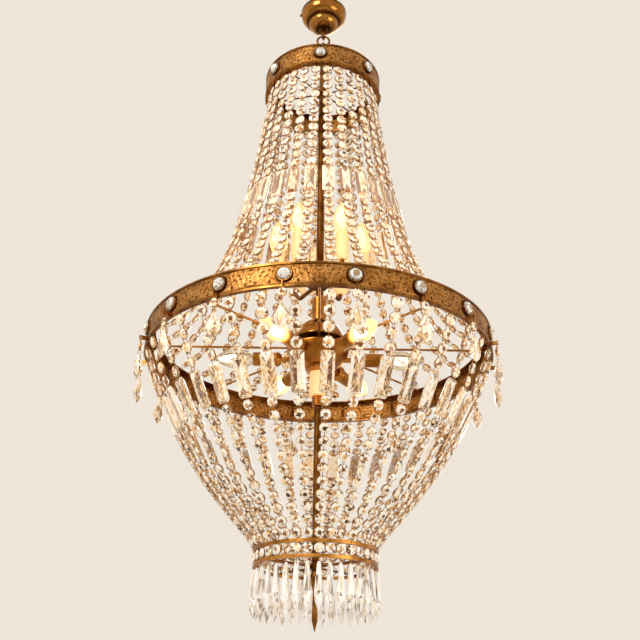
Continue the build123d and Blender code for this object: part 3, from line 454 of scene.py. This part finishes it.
# %% [markdown]
# ## Where the bulbs are
# Six bulbs stand in the tent and six lie round the hub, of which the two at the sides are dark.
# Crystals near a lit bulb take its colour. A lamp in the scene for each bulb would do that too,
# but would be lost in the exported model, so the distance to the nearest one is worked out.

# %% Places of the bulbs
LAMP_AZIMUTHS = 30.0 + 60.0 * np.arange(6)
LIT = {"upper": [0, 1, 2, 3, 4, 5], "lower": [0, 2, 3, 5]}
BULB_BELLY, LAMP_REACH = 30.0, 165.0    # from its holder to the widest place; how far it warms
upper_spots = places(LAMP_AZIMUTHS, 78.0, -592.0, 0.0, 1.0)
lower_spots = places(LAMP_AZIMUTHS, 114.2, -806.0, 1.0, 0.0)
lit_spots = np.concatenate([upper_spots[LIT["upper"]], lower_spots[LIT["lower"]]])
LIT_BULBS = lit_spots[:, 0] + BULB_BELLY * lit_spots[:, 2]

# %% [markdown]
# ## One stone, cut once and set many times
# A cutter works in rings: a flat table, a belt of facets, the girdle, and the same behind. A
# ring turned by half a step makes triangles, as on a brilliant; an equal ring makes plain
# bevels. The stone is made once as a template and then carried to all its places by matrix
# products, so hundreds of stones cost one line.

# %% Cut and set stones
def regular(count, radius, squash=1.0):
    """Corners of a regular polygon with a flat at each end."""
    turn = (np.arange(count) + 0.5) * 2 * pi / count - pi / 2
    return np.stack([radius * np.cos(turn), squash * radius * np.sin(turn)], -1)


def oblong(width, length, cut):
    """Corners of an oblong with its corners cut."""
    w, h = width / 2, length / 2
    return np.array([(-w + cut, -h), (w - cut, -h), (w, -h + cut), (w, h - cut),
                     (w - cut, h), (-w + cut, h), (-w, h - cut), (-w, -h + cut)])


def cut_stone(rings, ridge=None):
    """Template of a stone. A ring is (corners, depth, half_turned); depth runs back to front.

    A ridge is (half its length, its depth), for a stone of eight corners.
    """
    count = len(rings[0][0])
    levels, faces = [], [list(range(count))]
    for corners, depth, half in rings:
        shown = (corners + np.roll(corners, -1, 0)) / 2 / np.cos(pi / count) if half else corners
        levels.append(np.column_stack([shown, np.full(count, depth)]))
    for k in range(len(rings) - 1):
        low, high = k * count, (k + 1) * count
        for i in range(count):
            j = (i + 1) % count
            if rings[k][2] == rings[k + 1][2]:
                faces.append([low + i, low + j, high + j, high + i])
            elif rings[k][2]:
                faces += [[low + i, high + j, high + i], [low + i, low + j, high + j]]
            else:
                faces += [[low + i, low + j, high + i], [low + j, high + j, high + i]]
    points = np.concatenate(levels)
    top = len(points) - count
    if ridge:
        one, two = len(points), len(points) + 1
        points = np.vstack([points, [(0, -ridge[0], ridge[1]), (0, ridge[0], ridge[1])]])
        faces += [[top, top + 1, one], [top + 1, top + 2, one], [top + 2, top + 3, two, one],
                  [top + 3, top + 4, two], [top + 4, top + 5, two], [top + 5, top + 6, two],
                  [top + 6, top + 7, one, two], [top + 7, top, one]]
    else:
        faces.append([top + i for i in range(count)])
    return points, outward(points, faces)


def outward(points, faces):
    """Turns every face of a convex stone so that its front is outside."""
    centre = points.mean(0)
    turned = []
    for face in faces:
        a, b, c = points[face[0]], points[face[1]], points[face[2]]
        out = np.dot(np.cross(b - a, c - b), points[face].mean(0) - centre) > 0
        turned.append(face if out else face[::-1])
    return turned


def facet_tones(points, faces, copies, reach):
    """A chance tone for each facet of each copy, in the order of the faces.

    Lean is how squarely a facet faces along the stone's depth: 1 on the table, 0 on the girdle.
    The belt near the rim sends back dark room, the slopes next to the table mostly white light,
    and the table anything between, so the chance runs over another stretch of tones for each.
    The back of a stone is its warmer side, because it faces the bulbs. With a reach, every
    facet draws from 0 to that reach instead.
    """
    if reach:
        return reach * DRAW.random((copies, len(faces))) ** 1.2
    lean = []
    for face in faces:
        a, b, c = points[face[0]], points[face[1]], points[face[2]]
        normal = np.cross(b - a, c - b)
        lean.append(normal[2] / np.linalg.norm(normal))
    stops = [0.0, 0.30, 0.62, 0.70, 0.96, 1.0]
    warm = 0.10 * (np.array(lean) < -0.1)
    lowest = np.interp(np.abs(lean), stops, [0.58, 0.48, 0.42, 0.0, 0.0, 0.28]) + warm
    spread = np.interp(np.abs(lean), stops, [0.40, 0.50, 0.52, 1.0, 1.0, 0.70]) - warm
    rarity = np.interp(np.abs(lean), stops, [1.2, 1.3, 1.4, 2.5, 2.5, 1.1])
    return lowest + spread * DRAW.random((copies, len(faces))) ** rarity


def set_stones(name, template, spots, body, slot, material, stands_for=(), reach=0.0):
    """Carries a template to every place, draws its facets' tones, and warms it near a lit bulb.

    Warmth is exp(-(distance / reach of a lamp) squared), with the distance in mm.
    """
    points, faces = template
    moved = spots[:, None, 0] + np.einsum("pc,mck->mpk", points, spots[:, 1:])
    first = np.arange(len(spots))[:, None, None] * len(points)
    tones = facet_tones(points, faces, len(spots), reach)
    apart = np.linalg.norm(spots[:, None, 0] - LIT_BULBS[None], axis=-1).min(1)
    warmth = np.repeat(np.exp(-(apart / LAMP_REACH) ** 2), len(faces))
    sizes = np.array([len(face) for face in faces])
    blocks, tone = [], []
    for size in np.unique(sizes):
        block = np.array([face for face in faces if len(face) == size])
        blocks.append((first + block[None]).reshape(-1, size))
        tone.append(tones[:, sizes == size].ravel())
    return piece(name, moved.reshape(-1, 3), blocks, body, slot, material, stands_for,
                 tone=("FACE", np.concatenate(tone)), warm=("FACE", warmth))


# %% [markdown]
# ## The curves that the strands hang in
# A strand hooked at both ends hangs in a catenary, so the tent's outline is
# height = floor + sag * cosh((centre - radius) / sag). The basket is drawn in at the foot
# and follows a curve with four poles. Both give a radius and height for a length along them.

# %% Tent and basket curves
TENT_TOP, TENT_FOOT, TENT_SAG = (105.0, -234.0), (282.0, -771.5), 66.0
BASKET_POLES = np.array([(297.0, -817.0), (225.0, -1025.0), (104.0, -1105.0), (97.0, -1138.0)])
BAGUETTE, LEAST_GAP, LINK_HALF = 63.0, 3.0, 2.0


def tent(along):
    """Radius and height at lengths along the tent's catenary; also its whole length."""
    span, rise = TENT_FOOT[0] - TENT_TOP[0], TENT_TOP[1] - TENT_FOOT[1]
    lean = asinh(rise / (2 * TENT_SAG * sinh(span / (2 * TENT_SAG))))
    centre = (TENT_TOP[0] + TENT_FOOT[0]) / 2 + TENT_SAG * lean
    start, end = (centre - TENT_TOP[0]) / TENT_SAG, (centre - TENT_FOOT[0]) / TENT_SAG
    place = np.arcsinh(sinh(start) - np.asarray(along) / TENT_SAG)
    height = TENT_TOP[1] + TENT_SAG * (np.cosh(place) - cosh(start))
    line = np.stack([centre - TENT_SAG * place, height], -1)
    return line, TENT_SAG * (sinh(start) - sinh(end))


def basket(along):
    """The same for the basket: its poles' curve, measured finely and read by length."""
    t = np.linspace(0, 1, 2000)[:, None]
    line = ((1 - t) ** 3 * BASKET_POLES[0] + 3 * t * (1 - t) ** 2 * BASKET_POLES[1]
            + 3 * t ** 2 * (1 - t) * BASKET_POLES[2] + t ** 3 * BASKET_POLES[3])
    length = np.concatenate([[0], np.cumsum(np.hypot(*np.diff(line, axis=0).T))])
    return np.stack([np.interp(along, length, line[:, k]) for k in (0, 1)], -1), length[-1]


def run_of(curve, start, end, size):
    """Middles and directions of the stones in a stretch, and of the links at both their ends."""
    count = int((end - start) // (size + LEAST_GAP))
    pitch = (end - start) / count
    rows = []
    for middles, reach in ((start + (np.arange(count) + 0.5) * pitch, size / 2),
                           (start + np.arange(count + 1) * pitch, LINK_HALF)):
        above, below = curve(middles - reach)[0], curve(middles + reach)[0]
        way = (below - above) / np.hypot(*(below - above).T)[:, None]
        rows.append(((above + below) / 2, way))
    return rows, pitch


def spots_round(row, azimuths):
    """Places of a row of stones on every strand."""
    middle, way = row
    return places(azimuths[:, None], middle[None, :, 0], middle[None, :, 1],
                  way[None, :, 0], way[None, :, 1])


# %% [markdown]
# ## Octagons and the brass links between them
# The strand's stone is an octagon with a small table and sixteen facets on each face. Bent
# brass links run through a hole near its edge, over the rim and into the next stone. The link
# is a closed wire: a flat oval path with a square section, the same for each gap.

# %% Strands of octagons
OCTAGON, SMALL_OCTAGON, FOOT_OCTAGON, OCTAGON_DEPTH = 18.0, 16.0, 15.5, 8.0
LINK_WIRE, LINK_DEPTH, LINK_GRIP = 0.45, 7.2, 6.2    # grip is its reach into both stones together


def octagon(size, depth):
    """Octagon across its flats: table, sixteen slopes, a steep belt and the girdle, twice."""
    girdle, table = regular(8, size / 2 / np.cos(pi / 8)), regular(8, 0.22 * size)
    return cut_stone([(table, -depth / 2, True), (0.92 * girdle, -2.0, False), (girdle, -0.5, False),
                      (girdle, 0.5, False), (0.92 * girdle, 2.0, False), (table, depth / 2, True)])


def link(length, depth, wire):
    """Closed oval wire in the plane of along and outward: (points, quads)."""
    turn = np.linspace(0, 2 * pi, 10, endpoint=False)
    middle = np.stack([0 * turn, length / 2 * np.sign(np.cos(turn)) * np.abs(np.cos(turn)) ** 0.6,
                       depth / 2 * np.sign(np.sin(turn)) * np.abs(np.sin(turn)) ** 0.6], -1)
    side = np.stack([0 * turn, np.cos(turn), np.sin(turn)], -1)
    corner = np.array([0.25, 0.75, 1.25, 1.75]) * pi
    ring = (middle[:, None] + wire * (np.cos(corner)[None, :, None] * side[:, None]
                                      + np.sin(corner)[None, :, None] * np.array([1.0, 0, 0])))
    return ring.reshape(-1, 3), quads(10, 4, True, True)


def set_links(name, template, spots, body):
    """Carries a link to every place, as one piece."""
    points, faces = template
    moved = spots[:, None, 0] + np.einsum("pc,mck->mpk", points, spots[:, 1:])
    corners = (np.arange(len(spots))[:, None, None] * len(points) + faces[None]).reshape(-1, 4)
    made = piece(name, moved.reshape(-1, 3), [corners], body, "antique_brass", LAMPLIT_BRASS, smooth=True)
    return turn_out(made)


def turn_out(made):
    """Recalculates a closed piece's normals, so that they point outwards."""
    work = bmesh.new()
    work.from_mesh(made.data)
    bmesh.ops.recalc_face_normals(work, faces=work.faces)
    work.to_mesh(made.data)
    work.free()
    return made


def strands(name, curve, start, end, size, azimuths, node_name):
    """Octagons and links on a stretch of every strand; a loose stone turns by up to 9 degrees."""
    rows, pitch = run_of(curve, start, end, size)
    stones = twisted(spots_round(rows[0], azimuths), 9.0)
    set_stones(name + "_crystals", octagon(size, OCTAGON_DEPTH), stones, "frame", "cut_crystal",
               CRYSTAL, (node_name,))
    set_links(name + "_links", link(pitch - size + LINK_GRIP, LINK_DEPTH, LINK_WIRE),
              spots_round(rows[1], azimuths), "frame")
    print(name, len(stones), "octagons, one every", round(pitch, 1), "mm")


TENT_AZIMUTHS = 4.7 + 12.0 * np.arange(30)
BASKET_AZIMUTHS = 3.0 + 10.0 * np.arange(36)
TENT_LENGTH, BASKET_LENGTH = tent(0.0)[1], basket(0.0)[1]
TENT_GEM, BASKET_GEM = 262.0, 92.0    # along the strand, where the long stone starts
strands("tent_upper", tent, 0.0, TENT_GEM, OCTAGON, TENT_AZIMUTHS, "tent_upper_chains")
strands("tent_lower", tent, TENT_GEM + BAGUETTE, TENT_LENGTH, OCTAGON, TENT_AZIMUTHS,
        "tent_lower_chains")
strands("basket_upper", basket, 0.0, BASKET_GEM, OCTAGON, BASKET_AZIMUTHS, "basket_upper_chains")
strands("basket_lower", basket, BASKET_GEM + BAGUETTE, BASKET_LENGTH, SMALL_OCTAGON,
        BASKET_AZIMUTHS, "basket_lower_chains")

# %% [markdown]
# ## Baguettes
# The long stones are oblongs with their edges cut, and a low ridge down the middle whose ends
# fan out, which gives the crossed streaks that long stones show.

# %% Long stones
def long_stones(name, curve, start, azimuths, node_name, reach):
    """One long stone on every strand, straight between two points of the strand's curve."""
    (top, bottom), _ = curve(np.array([start, start + BAGUETTE]))
    way = (bottom - top) / np.hypot(*(bottom - top))
    middle = top + way * BAGUETTE / 2
    template = cut_stone([(oblong(15, 56, 2.0), -4.6, False), (oblong(21.4, 62.8, 3.0), -1.2, False),
                          (oblong(21.4, 62.8, 3.0), 1.0, False), (oblong(13.5, 53, 2.0), 4.0, False)],
                         ridge=(14.0, 4.9))
    spots = twisted(places(azimuths, middle[0], middle[1], way[0], way[1]), 5.0)
    set_stones(name, template, spots, "frame", "cut_crystal", PRISM, (node_name,), reach)


long_stones("tent_long_stones", tent, TENT_GEM, TENT_AZIMUTHS, "tent_baguettes", 1.25)
long_stones("basket_long_stones", basket, BASKET_GEM, BASKET_AZIMUTHS, "basket_baguettes", 0.95)

# %% [markdown]
# ## Foot: a ring of octagons and the spears
# Spears hang on wires under the lower foot band: a slim neck, a six-sided body that widens
# slowly, then a long point. Rings turned by half a step near the widest place catch the light.

# %% Octagons of the foot and spears
FOOT_RADIUS, FOOT_MIDDLE, FOOT_BOTTOM = 97.0, -1152.0, -1166.0


def foot_ring(height):
    """Places round the foot at a height, hanging straight down."""
    return places(BASKET_AZIMUTHS, FOOT_RADIUS, height, 0.0, -1.0)


set_stones("foot_crystals", octagon(FOOT_OCTAGON, OCTAGON_DEPTH), foot_ring(FOOT_MIDDLE), "frame",
           "cut_crystal", CRYSTAL, ("foot_octagons",))
foot_links = np.concatenate([foot_ring(height) for height in (-1143.8, -1160.2)])
set_links("foot_links", link(5.0, 3.0, LINK_WIRE), foot_links, "frame")


def spear():
    """Rings of a spear along its length; depth here is the way down."""
    line = ((1.8, 0.0, False), (3.5, 4.2, False), (4.8, 20.0, False), (6.7, 43.0, True),
            (7.1, 49.0, False), (5.3, 57.0, True), (0.35, 69.8, False))
    return cut_stone([(regular(6, radius), down, half) for radius, down, half in line])


set_stones("spears", spear(), foot_ring(FOOT_BOTTOM - 6.0)[:, [0, 3, 1, 2]], "frame", "cut_crystal",
           SPEAR, ("foot_spears",), reach=0.80)
set_links("spear_links", link(9.0, 3.0, LINK_WIRE), foot_ring(FOOT_BOTTOM - 3.0), "frame")

# %% [markdown]
# ## Round jewels on both bands
# Twelve-sided brilliants sit in turned cups on the stamped strips: seven on the crown and one
# every twenty degrees on the middle band.

# %% Jewels
jewel = cut_stone([(regular(12, 10.2), 0.0, False), (regular(12, 11.0), 2.0, False),
                   (regular(12, 8.8), 5.2, True), (regular(12, 5.4), 8.0, False)])
CROWN_RADIUS, CROWN_HEIGHT, CROWN_JEWELS, CROWN_FIRST = 114.5, -212.0, 7, -2.5
MIDDLE_RADIUS, MIDDLE_HEIGHT, MIDDLE_JEWELS, MIDDLE_FIRST = 300.0, -797.0, 18, 10.0
JEWEL_SEAT = 1.1    # the jewel's back in front of the strip
CROWN_AZIMUTHS = CROWN_FIRST + 360.0 / CROWN_JEWELS * np.arange(CROWN_JEWELS)
MIDDLE_AZIMUTHS = MIDDLE_FIRST + 360.0 / MIDDLE_JEWELS * np.arange(MIDDLE_JEWELS)
jewel_spots = np.concatenate([
    places(CROWN_AZIMUTHS, CROWN_RADIUS + JEWEL_SEAT, CROWN_HEIGHT, 0.0, -1.0),
    places(MIDDLE_AZIMUTHS, MIDDLE_RADIUS + JEWEL_SEAT, MIDDLE_HEIGHT, 0.0, -1.0)])
set_stones("round_jewels", jewel, jewel_spots, "frame", "cut_crystal", JEWEL, ("jewels",))

# %% [markdown]
# ## Stamped bands
# The strip is rolled through steel dies, so its leaf scrolls stand out in front and show as
# hollows behind. The pattern is a formula: spirals with a wavy ridge, mirrored about the middle
# between two jewels. Its height moves the strip's surface and is kept on the mesh for the patina.

# %% Stamped strips
HALF_STRIP = 17.0    # mm to one unit of the pattern
SCROLLS = ((0.0, 0.0, 0.62, 0, 7), (0.72, 0.32, 0.72, 1, 5), (1.50, -0.30, 0.80, -1, 6),
           (2.25, 0.34, 0.66, 1, 5), (0.95, -0.66, 0.40, -1, 4), (1.75, 0.72, 0.36, 1, 4),
           (2.55, -0.62, 0.40, -1, 4))    # place, size, turn of the spiral, number of lobes


def scrolls(across, up, motif):
    """Height 0 to 1 of leaf scrolls; across is in motifs from a jewel, up is -1 to 1.

    Each scroll is a spiral cos(turn * angle - 6.5 * log(reach)) with lobes round it. Between
    them runs a curling ground: two waves, each bent by the other.
    """
    away = np.abs(across % 1.0 - 0.5) * motif / HALF_STRIP
    scroll = np.zeros_like(away)
    for x, y, size, turn, lobes in SCROLLS:
        dx, dy = away - x, up - y
        reach, angle = np.hypot(dx, dy) / size, np.arctan2(dy, dx)
        coil = 0.5 + 0.5 * np.cos(turn * angle - 6.5 * np.log(reach + 0.12))
        leaf = 0.5 + 0.5 * np.cos(lobes * angle + 3.0 * reach)
        scroll = np.maximum(scroll, (0.62 * coil + 0.38 * leaf) * np.clip(1.35 - reach, 0, 1) ** 0.7)
    first = away + 0.30 * np.sin(5.1 * up + 2.0 * np.sin(4.3 * away))
    second = up + 0.26 * np.cos(6.3 * away + 1.7 * np.sin(3.7 * up))
    ground = np.abs(np.cos(7.5 * first) * np.cos(6.1 * second)) ** 0.6
    height = 0.55 * scroll + 0.45 * ground
    edge = np.clip((np.abs(up) - 0.86) / 0.10, 0, 1)
    return height * (1 - edge) + 0.5 * edge


def stamped_strip(name, radius, middle, half, motifs, first, columns):
    """Closed strip round a band: relief outside, its hollow copy inside.

    radius + 1.35 mm * relief outside, and flat under the jewels' settings, 12 mm in radius.
    """
    rows = 26
    up = np.linspace(-1, 1, rows)[:, None]
    across = (np.arange(motifs * columns) / columns)[None, :]
    relief = scrolls(across, up, 2 * pi * radius / motifs)
    near = np.abs((across + 0.5) % 1.0 - 0.5) * 2 * pi * radius / motifs
    front = relief * np.clip((np.hypot(near, up * half) - 12.0) / 3.0, 0, 1)
    outer, inner = radius + 0.05 + 1.35 * front, radius - 1.62 - 0.9 * relief
    outer[[0, -1]], inner[[0, -1]] = radius - 0.4, radius - 1.1
    ring = np.concatenate([outer, inner[::-1]])
    height = middle + half * np.concatenate([up, up[::-1]])
    azimuth = across * 360.0 / motifs + first
    points = at_azimuth(azimuth + 0 * ring, ring, height + 0 * ring)
    faces = quads(2 * rows, motifs * columns, True, True)
    tall = np.concatenate([front, relief[::-1]])
    made = piece(name, points.reshape(-1, 3), [faces], "frame", "stamped_brass", STAMPED, smooth=True,
                 relief=("POINT", tall.ravel()))
    turn_out(made)
    print(name, len(faces), "squares")


stamped_strip("crown_strip", CROWN_RADIUS, CROWN_HEIGHT, half=18.6, motifs=CROWN_JEWELS,
              first=CROWN_FIRST, columns=72)
stamped_strip("middle_strip", MIDDLE_RADIUS, MIDDLE_HEIGHT, half=16.6, motifs=MIDDLE_JEWELS,
              first=MIDDLE_FIRST, columns=76)

# %% [markdown]
# ## Turned and spun brass
# The canopy, the hub's dome and the bulbs are all lathe work: a profile carried round an axis.
# A spun shell is one thin sheet, so its profile is the outer line and the same line set back by
# the wall. Painted shade darkens the sheet where it turns a corner, at lengths given on the line,
# and darkens its whole inside.

# %% Lathe work
def through(first, middle, last, steps=14):
    """Points on the curve of degree two that passes the middle point half way."""
    t = np.linspace(0, 1, steps)[:, None]
    first, middle, last = map(np.array, (first, middle, last))
    pull = 2 * middle - (first + last) / 2
    return (1 - t) ** 2 * first + 2 * t * (1 - t) * pull + t ** 2 * last


def lathe(profile, segments, closed):
    """Grid of a profile (radius, height) turned round the axis."""
    turn = np.arange(segments) * 2 * pi / segments
    radius, height = profile[:, :1], profile[:, 1:]
    points = np.stack(np.broadcast_arrays(radius * np.cos(turn), radius * np.sin(turn), height), -1)
    return points, quads(len(profile), segments, closed, True)


def spun_shell(name, outer, wall, body, stands_for, dark):
    """Thin spun shell from its outer line; dark lists (place on the line, reach) of painted shade."""
    way = np.gradient(outer, axis=0)
    normal = np.stack([way[:, 1], -way[:, 0]], -1) / np.hypot(*way.T)[:, None]
    profile = np.concatenate([outer, (outer + normal * wall)[::-1]])
    along = np.concatenate([[0], np.cumsum(np.hypot(*np.diff(outer, axis=0).T))])
    rubbed_and_lit = np.ones(len(outer))
    for place, reach in dark:
        rubbed_and_lit = np.minimum(rubbed_and_lit, np.abs(along - place) / reach)
    segments = 96
    points, faces = lathe(profile, segments, True)
    # Painted shade: dark near the listed corners, and far darker on the inside.
    relief = np.repeat(np.concatenate([rubbed_and_lit, 0.3 * rubbed_and_lit[::-1]]), segments)
    made = piece(name, points.reshape(-1, 3), [faces], body, "antique_brass", SPUN, stands_for,
                 smooth=True, relief=("POINT", relief))
    print(name, "line of", round(along[-1], 1), "mm")
    return turn_out(made)


SHEET = 1.1    # wall of the spun shells
bowl = np.vstack([[(48.0, -0.3), (48.0, -1.2)], through((47.9, -2.2), (43.4, -17.6), (32.0, -26.4)),
                  through((31.3, -26.7), (26.8, -39.0), (12.3, -47.6)), [(11.0, -47.95), (3.4, -47.95)]])
spun_shell("spun_canopy", bowl, SHEET, "ceiling", ("canopy",),
           ((0.0, 9.0), (33.0, 9.0), (63.0, 12.0)))
dome = np.vstack([[(13.2, -733.9), (20.0, -734.0)],
                  through((22.0, -734.6), (38.6, -750.0), (46.9, -772.6))])
spun_shell("spun_dome", dome, SHEET, "frame", ("hub_dome",), ((0.0, 10.0), (58.0, 5.0)))

# %% [markdown]
# ## Bulbs
# Clear candle bulbs. The glass is a lathe surface, and in a lit one a small bright body inside
# stands for the filament's glare. The lower six lie flat and point outwards, the two at the
# sides unlit; the upper six stand.

# %% Bulbs and their glow
def candle_profile():
    """Closed profile of a candle bulb from the mouth of its holder: neck, belly, flame tip."""
    line = np.array([(0.001, -20.0), (6.4, -20.0), (6.7, -0.4), (9.5, 0.6), (13.2, 8.0), (16.4, 18.0),
                     (17.4, 28.0), (16.2, 39.0), (12.6, 50.0), (8.0, 59.5), (3.6, 66.0), (1.5, 69.6),
                     (0.001, 70.0)])
    fine = np.linspace(0, len(line) - 1, 44)
    return np.stack([np.interp(fine, np.arange(len(line)), line[:, k]) for k in (0, 1)], -1)


def set_lathed(name, profile, segments, spots, body, slot, material, stands_for=(), **values):
    """Carries a turned piece to every place; its axis follows the place's along."""
    points, faces = lathe(profile, segments, False)
    points, size = points.reshape(-1, 3), points.shape[0] * points.shape[1]
    moved = spots[:, None, 0] + np.einsum("pc,mck->mpk", points[:, [0, 2, 1]], spots[:, 1:])
    corners = (np.arange(len(spots))[:, None, None] * size + faces[None]).reshape(-1, 4)
    each = {key: ("FACE", np.repeat(row, len(faces))) for key, row in values.items()}
    return turn_out(piece(name, moved.reshape(-1, 3), [corners], body, slot, material, stands_for,
                          smooth=True, **each))


glow_line = np.array([(0.001, 14.0), (3.0, 16.0), (5.0, 22.0), (5.4, 30.0), (4.2, 38.0), (0.001, 43.0)])
for level, spots in (("upper", upper_spots), ("lower", lower_spots)):
    set_lathed(level + "_candle_bulbs", candle_profile(), 24, spots, "frame", "bulb_glass", BULB[level],
               (level + "_bulbs",), lit=np.isin(np.arange(len(spots)), LIT[level]))
    set_lathed(level + "_filaments", glow_line, 12, spots[LIT[level]], "frame", "bulb_glass", GLOW[level])

# %% [markdown]
# ## Pear drops
# Eighteen pendants swing on their own wire rings. A drop is a pear outline cut with two belts of
# plain bevels round its table on each face.

# %% Pendants
PIVOT, HANG_RADIUS = -817.2, 311.0
PEAR_LENGTH, PEAR_WIDTH = 49.0, 30.0
PEAR_CENTRE = 0.62 * PEAR_LENGTH    # below its top; the smaller outlines shrink towards it


def pear(length, width, count=14):
    """Outline of a pear: half a sine whose peak is pushed down, from the top on both sides."""
    half = count // 2
    share = 0.06 + 0.94 * np.arange(half + 1) / half
    x = width / 2 * np.sin(pi * share ** 1.7)
    down = share * length
    return np.concatenate([np.stack([x[:-1], down[:-1]], -1), [(0.0, length)],
                           np.stack([-x[:-1], down[:-1]], -1)[::-1]])


def pear_stone():
    """The outline at the girdle, and two smaller copies of it on each side."""
    outline = pear(PEAR_LENGTH, PEAR_WIDTH) - np.array([0.0, PEAR_CENTRE])
    rings = ((0.42, -6.0), (0.74, -3.6), (1.0, -0.6), (1.0, 0.6), (0.74, 3.6), (0.42, 6.0))
    return cut_stone([(outline * share, depth, False) for share, depth in rings])


def hang(azimuth, below):
    """The place of a pendant's part, some millimetres below its pivot."""
    return places(np.array([azimuth]), HANG_RADIUS, PIVOT - below, 0.0, -1.0)


drop_template = pear_stone()
for number, azimuth in enumerate(MIDDLE_AZIMUTHS):
    body = f"pendant_{number + 1:02d}"
    set_stones(body + "_octagon", octagon(14.0, 7.0), hang(azimuth, 14.9), body, "cut_crystal", CRYSTAL,
               (body,))
    set_stones(body + "_drop", drop_template, hang(azimuth, 25.0 + PEAR_CENTRE), body, "cut_crystal",
               PRISM, reach=0.8)
    set_links(body + "_ring", link(6.4, 6.4, 0.6), hang(azimuth, 3.2)[:, [0, 3, 2, 1]], body)
    set_links(body + "_hook", link(9.5, 5.0, LINK_WIRE), hang(azimuth, 24.0), body)

# %% [markdown]
# ## The CAD parts that stay
# The rest of the metalwork already has its true shape, so it only takes its finish: yellower
# where the bulbs light it, as painted lamplight, and browner on the stem and its arms, as painted
# shade. The two bands carry the strips, and what shows of them is their plain edge.

# %% Finishes for the CAD parts
FINISH = {"zinc_steel": ZINC, "terminal_plastic": MOULDED, "wire_insulation": SHEATH,
          "candle_sleeve": SLEEVE, "stamped_brass": STAMPED, "antique_brass": BRASS,
          "cut_crystal": CRYSTAL, "bulb_glass": BULB["lower"]}
# Parts that take the yellower copy with painted lamplight from the bulbs.
LAMPLIT_NODES = {"lower_lampholders", "hub_dish", "hub_cup", "hub_body", "spokes", "foot_upper_band",
              "foot_lower_band", "ribbed_collar"}
# Parts that take the browner copy with painted shade.
SHADED_NODES = {"stem_tube", "upper_arms", "upper_light_plate", "lower_stem", "crown_spider",
               "foot_spider"}
slots = {row["node"]: row["material_slot"] for row in frame["record"]["subparts"]}
own = {name: FINISH[slot] for name, slot in slots.items()}
own.update({name: LAMPLIT_BRASS for name in LAMPLIT_NODES})
own.update({name: SHADED_BRASS for name in SHADED_NODES})
own.update(crown_band=BRASS, middle_band=BRASS)
for name, obj in frame["nodes"].items():
    obj.data.materials.clear()
    obj.data.materials.append(own[name])
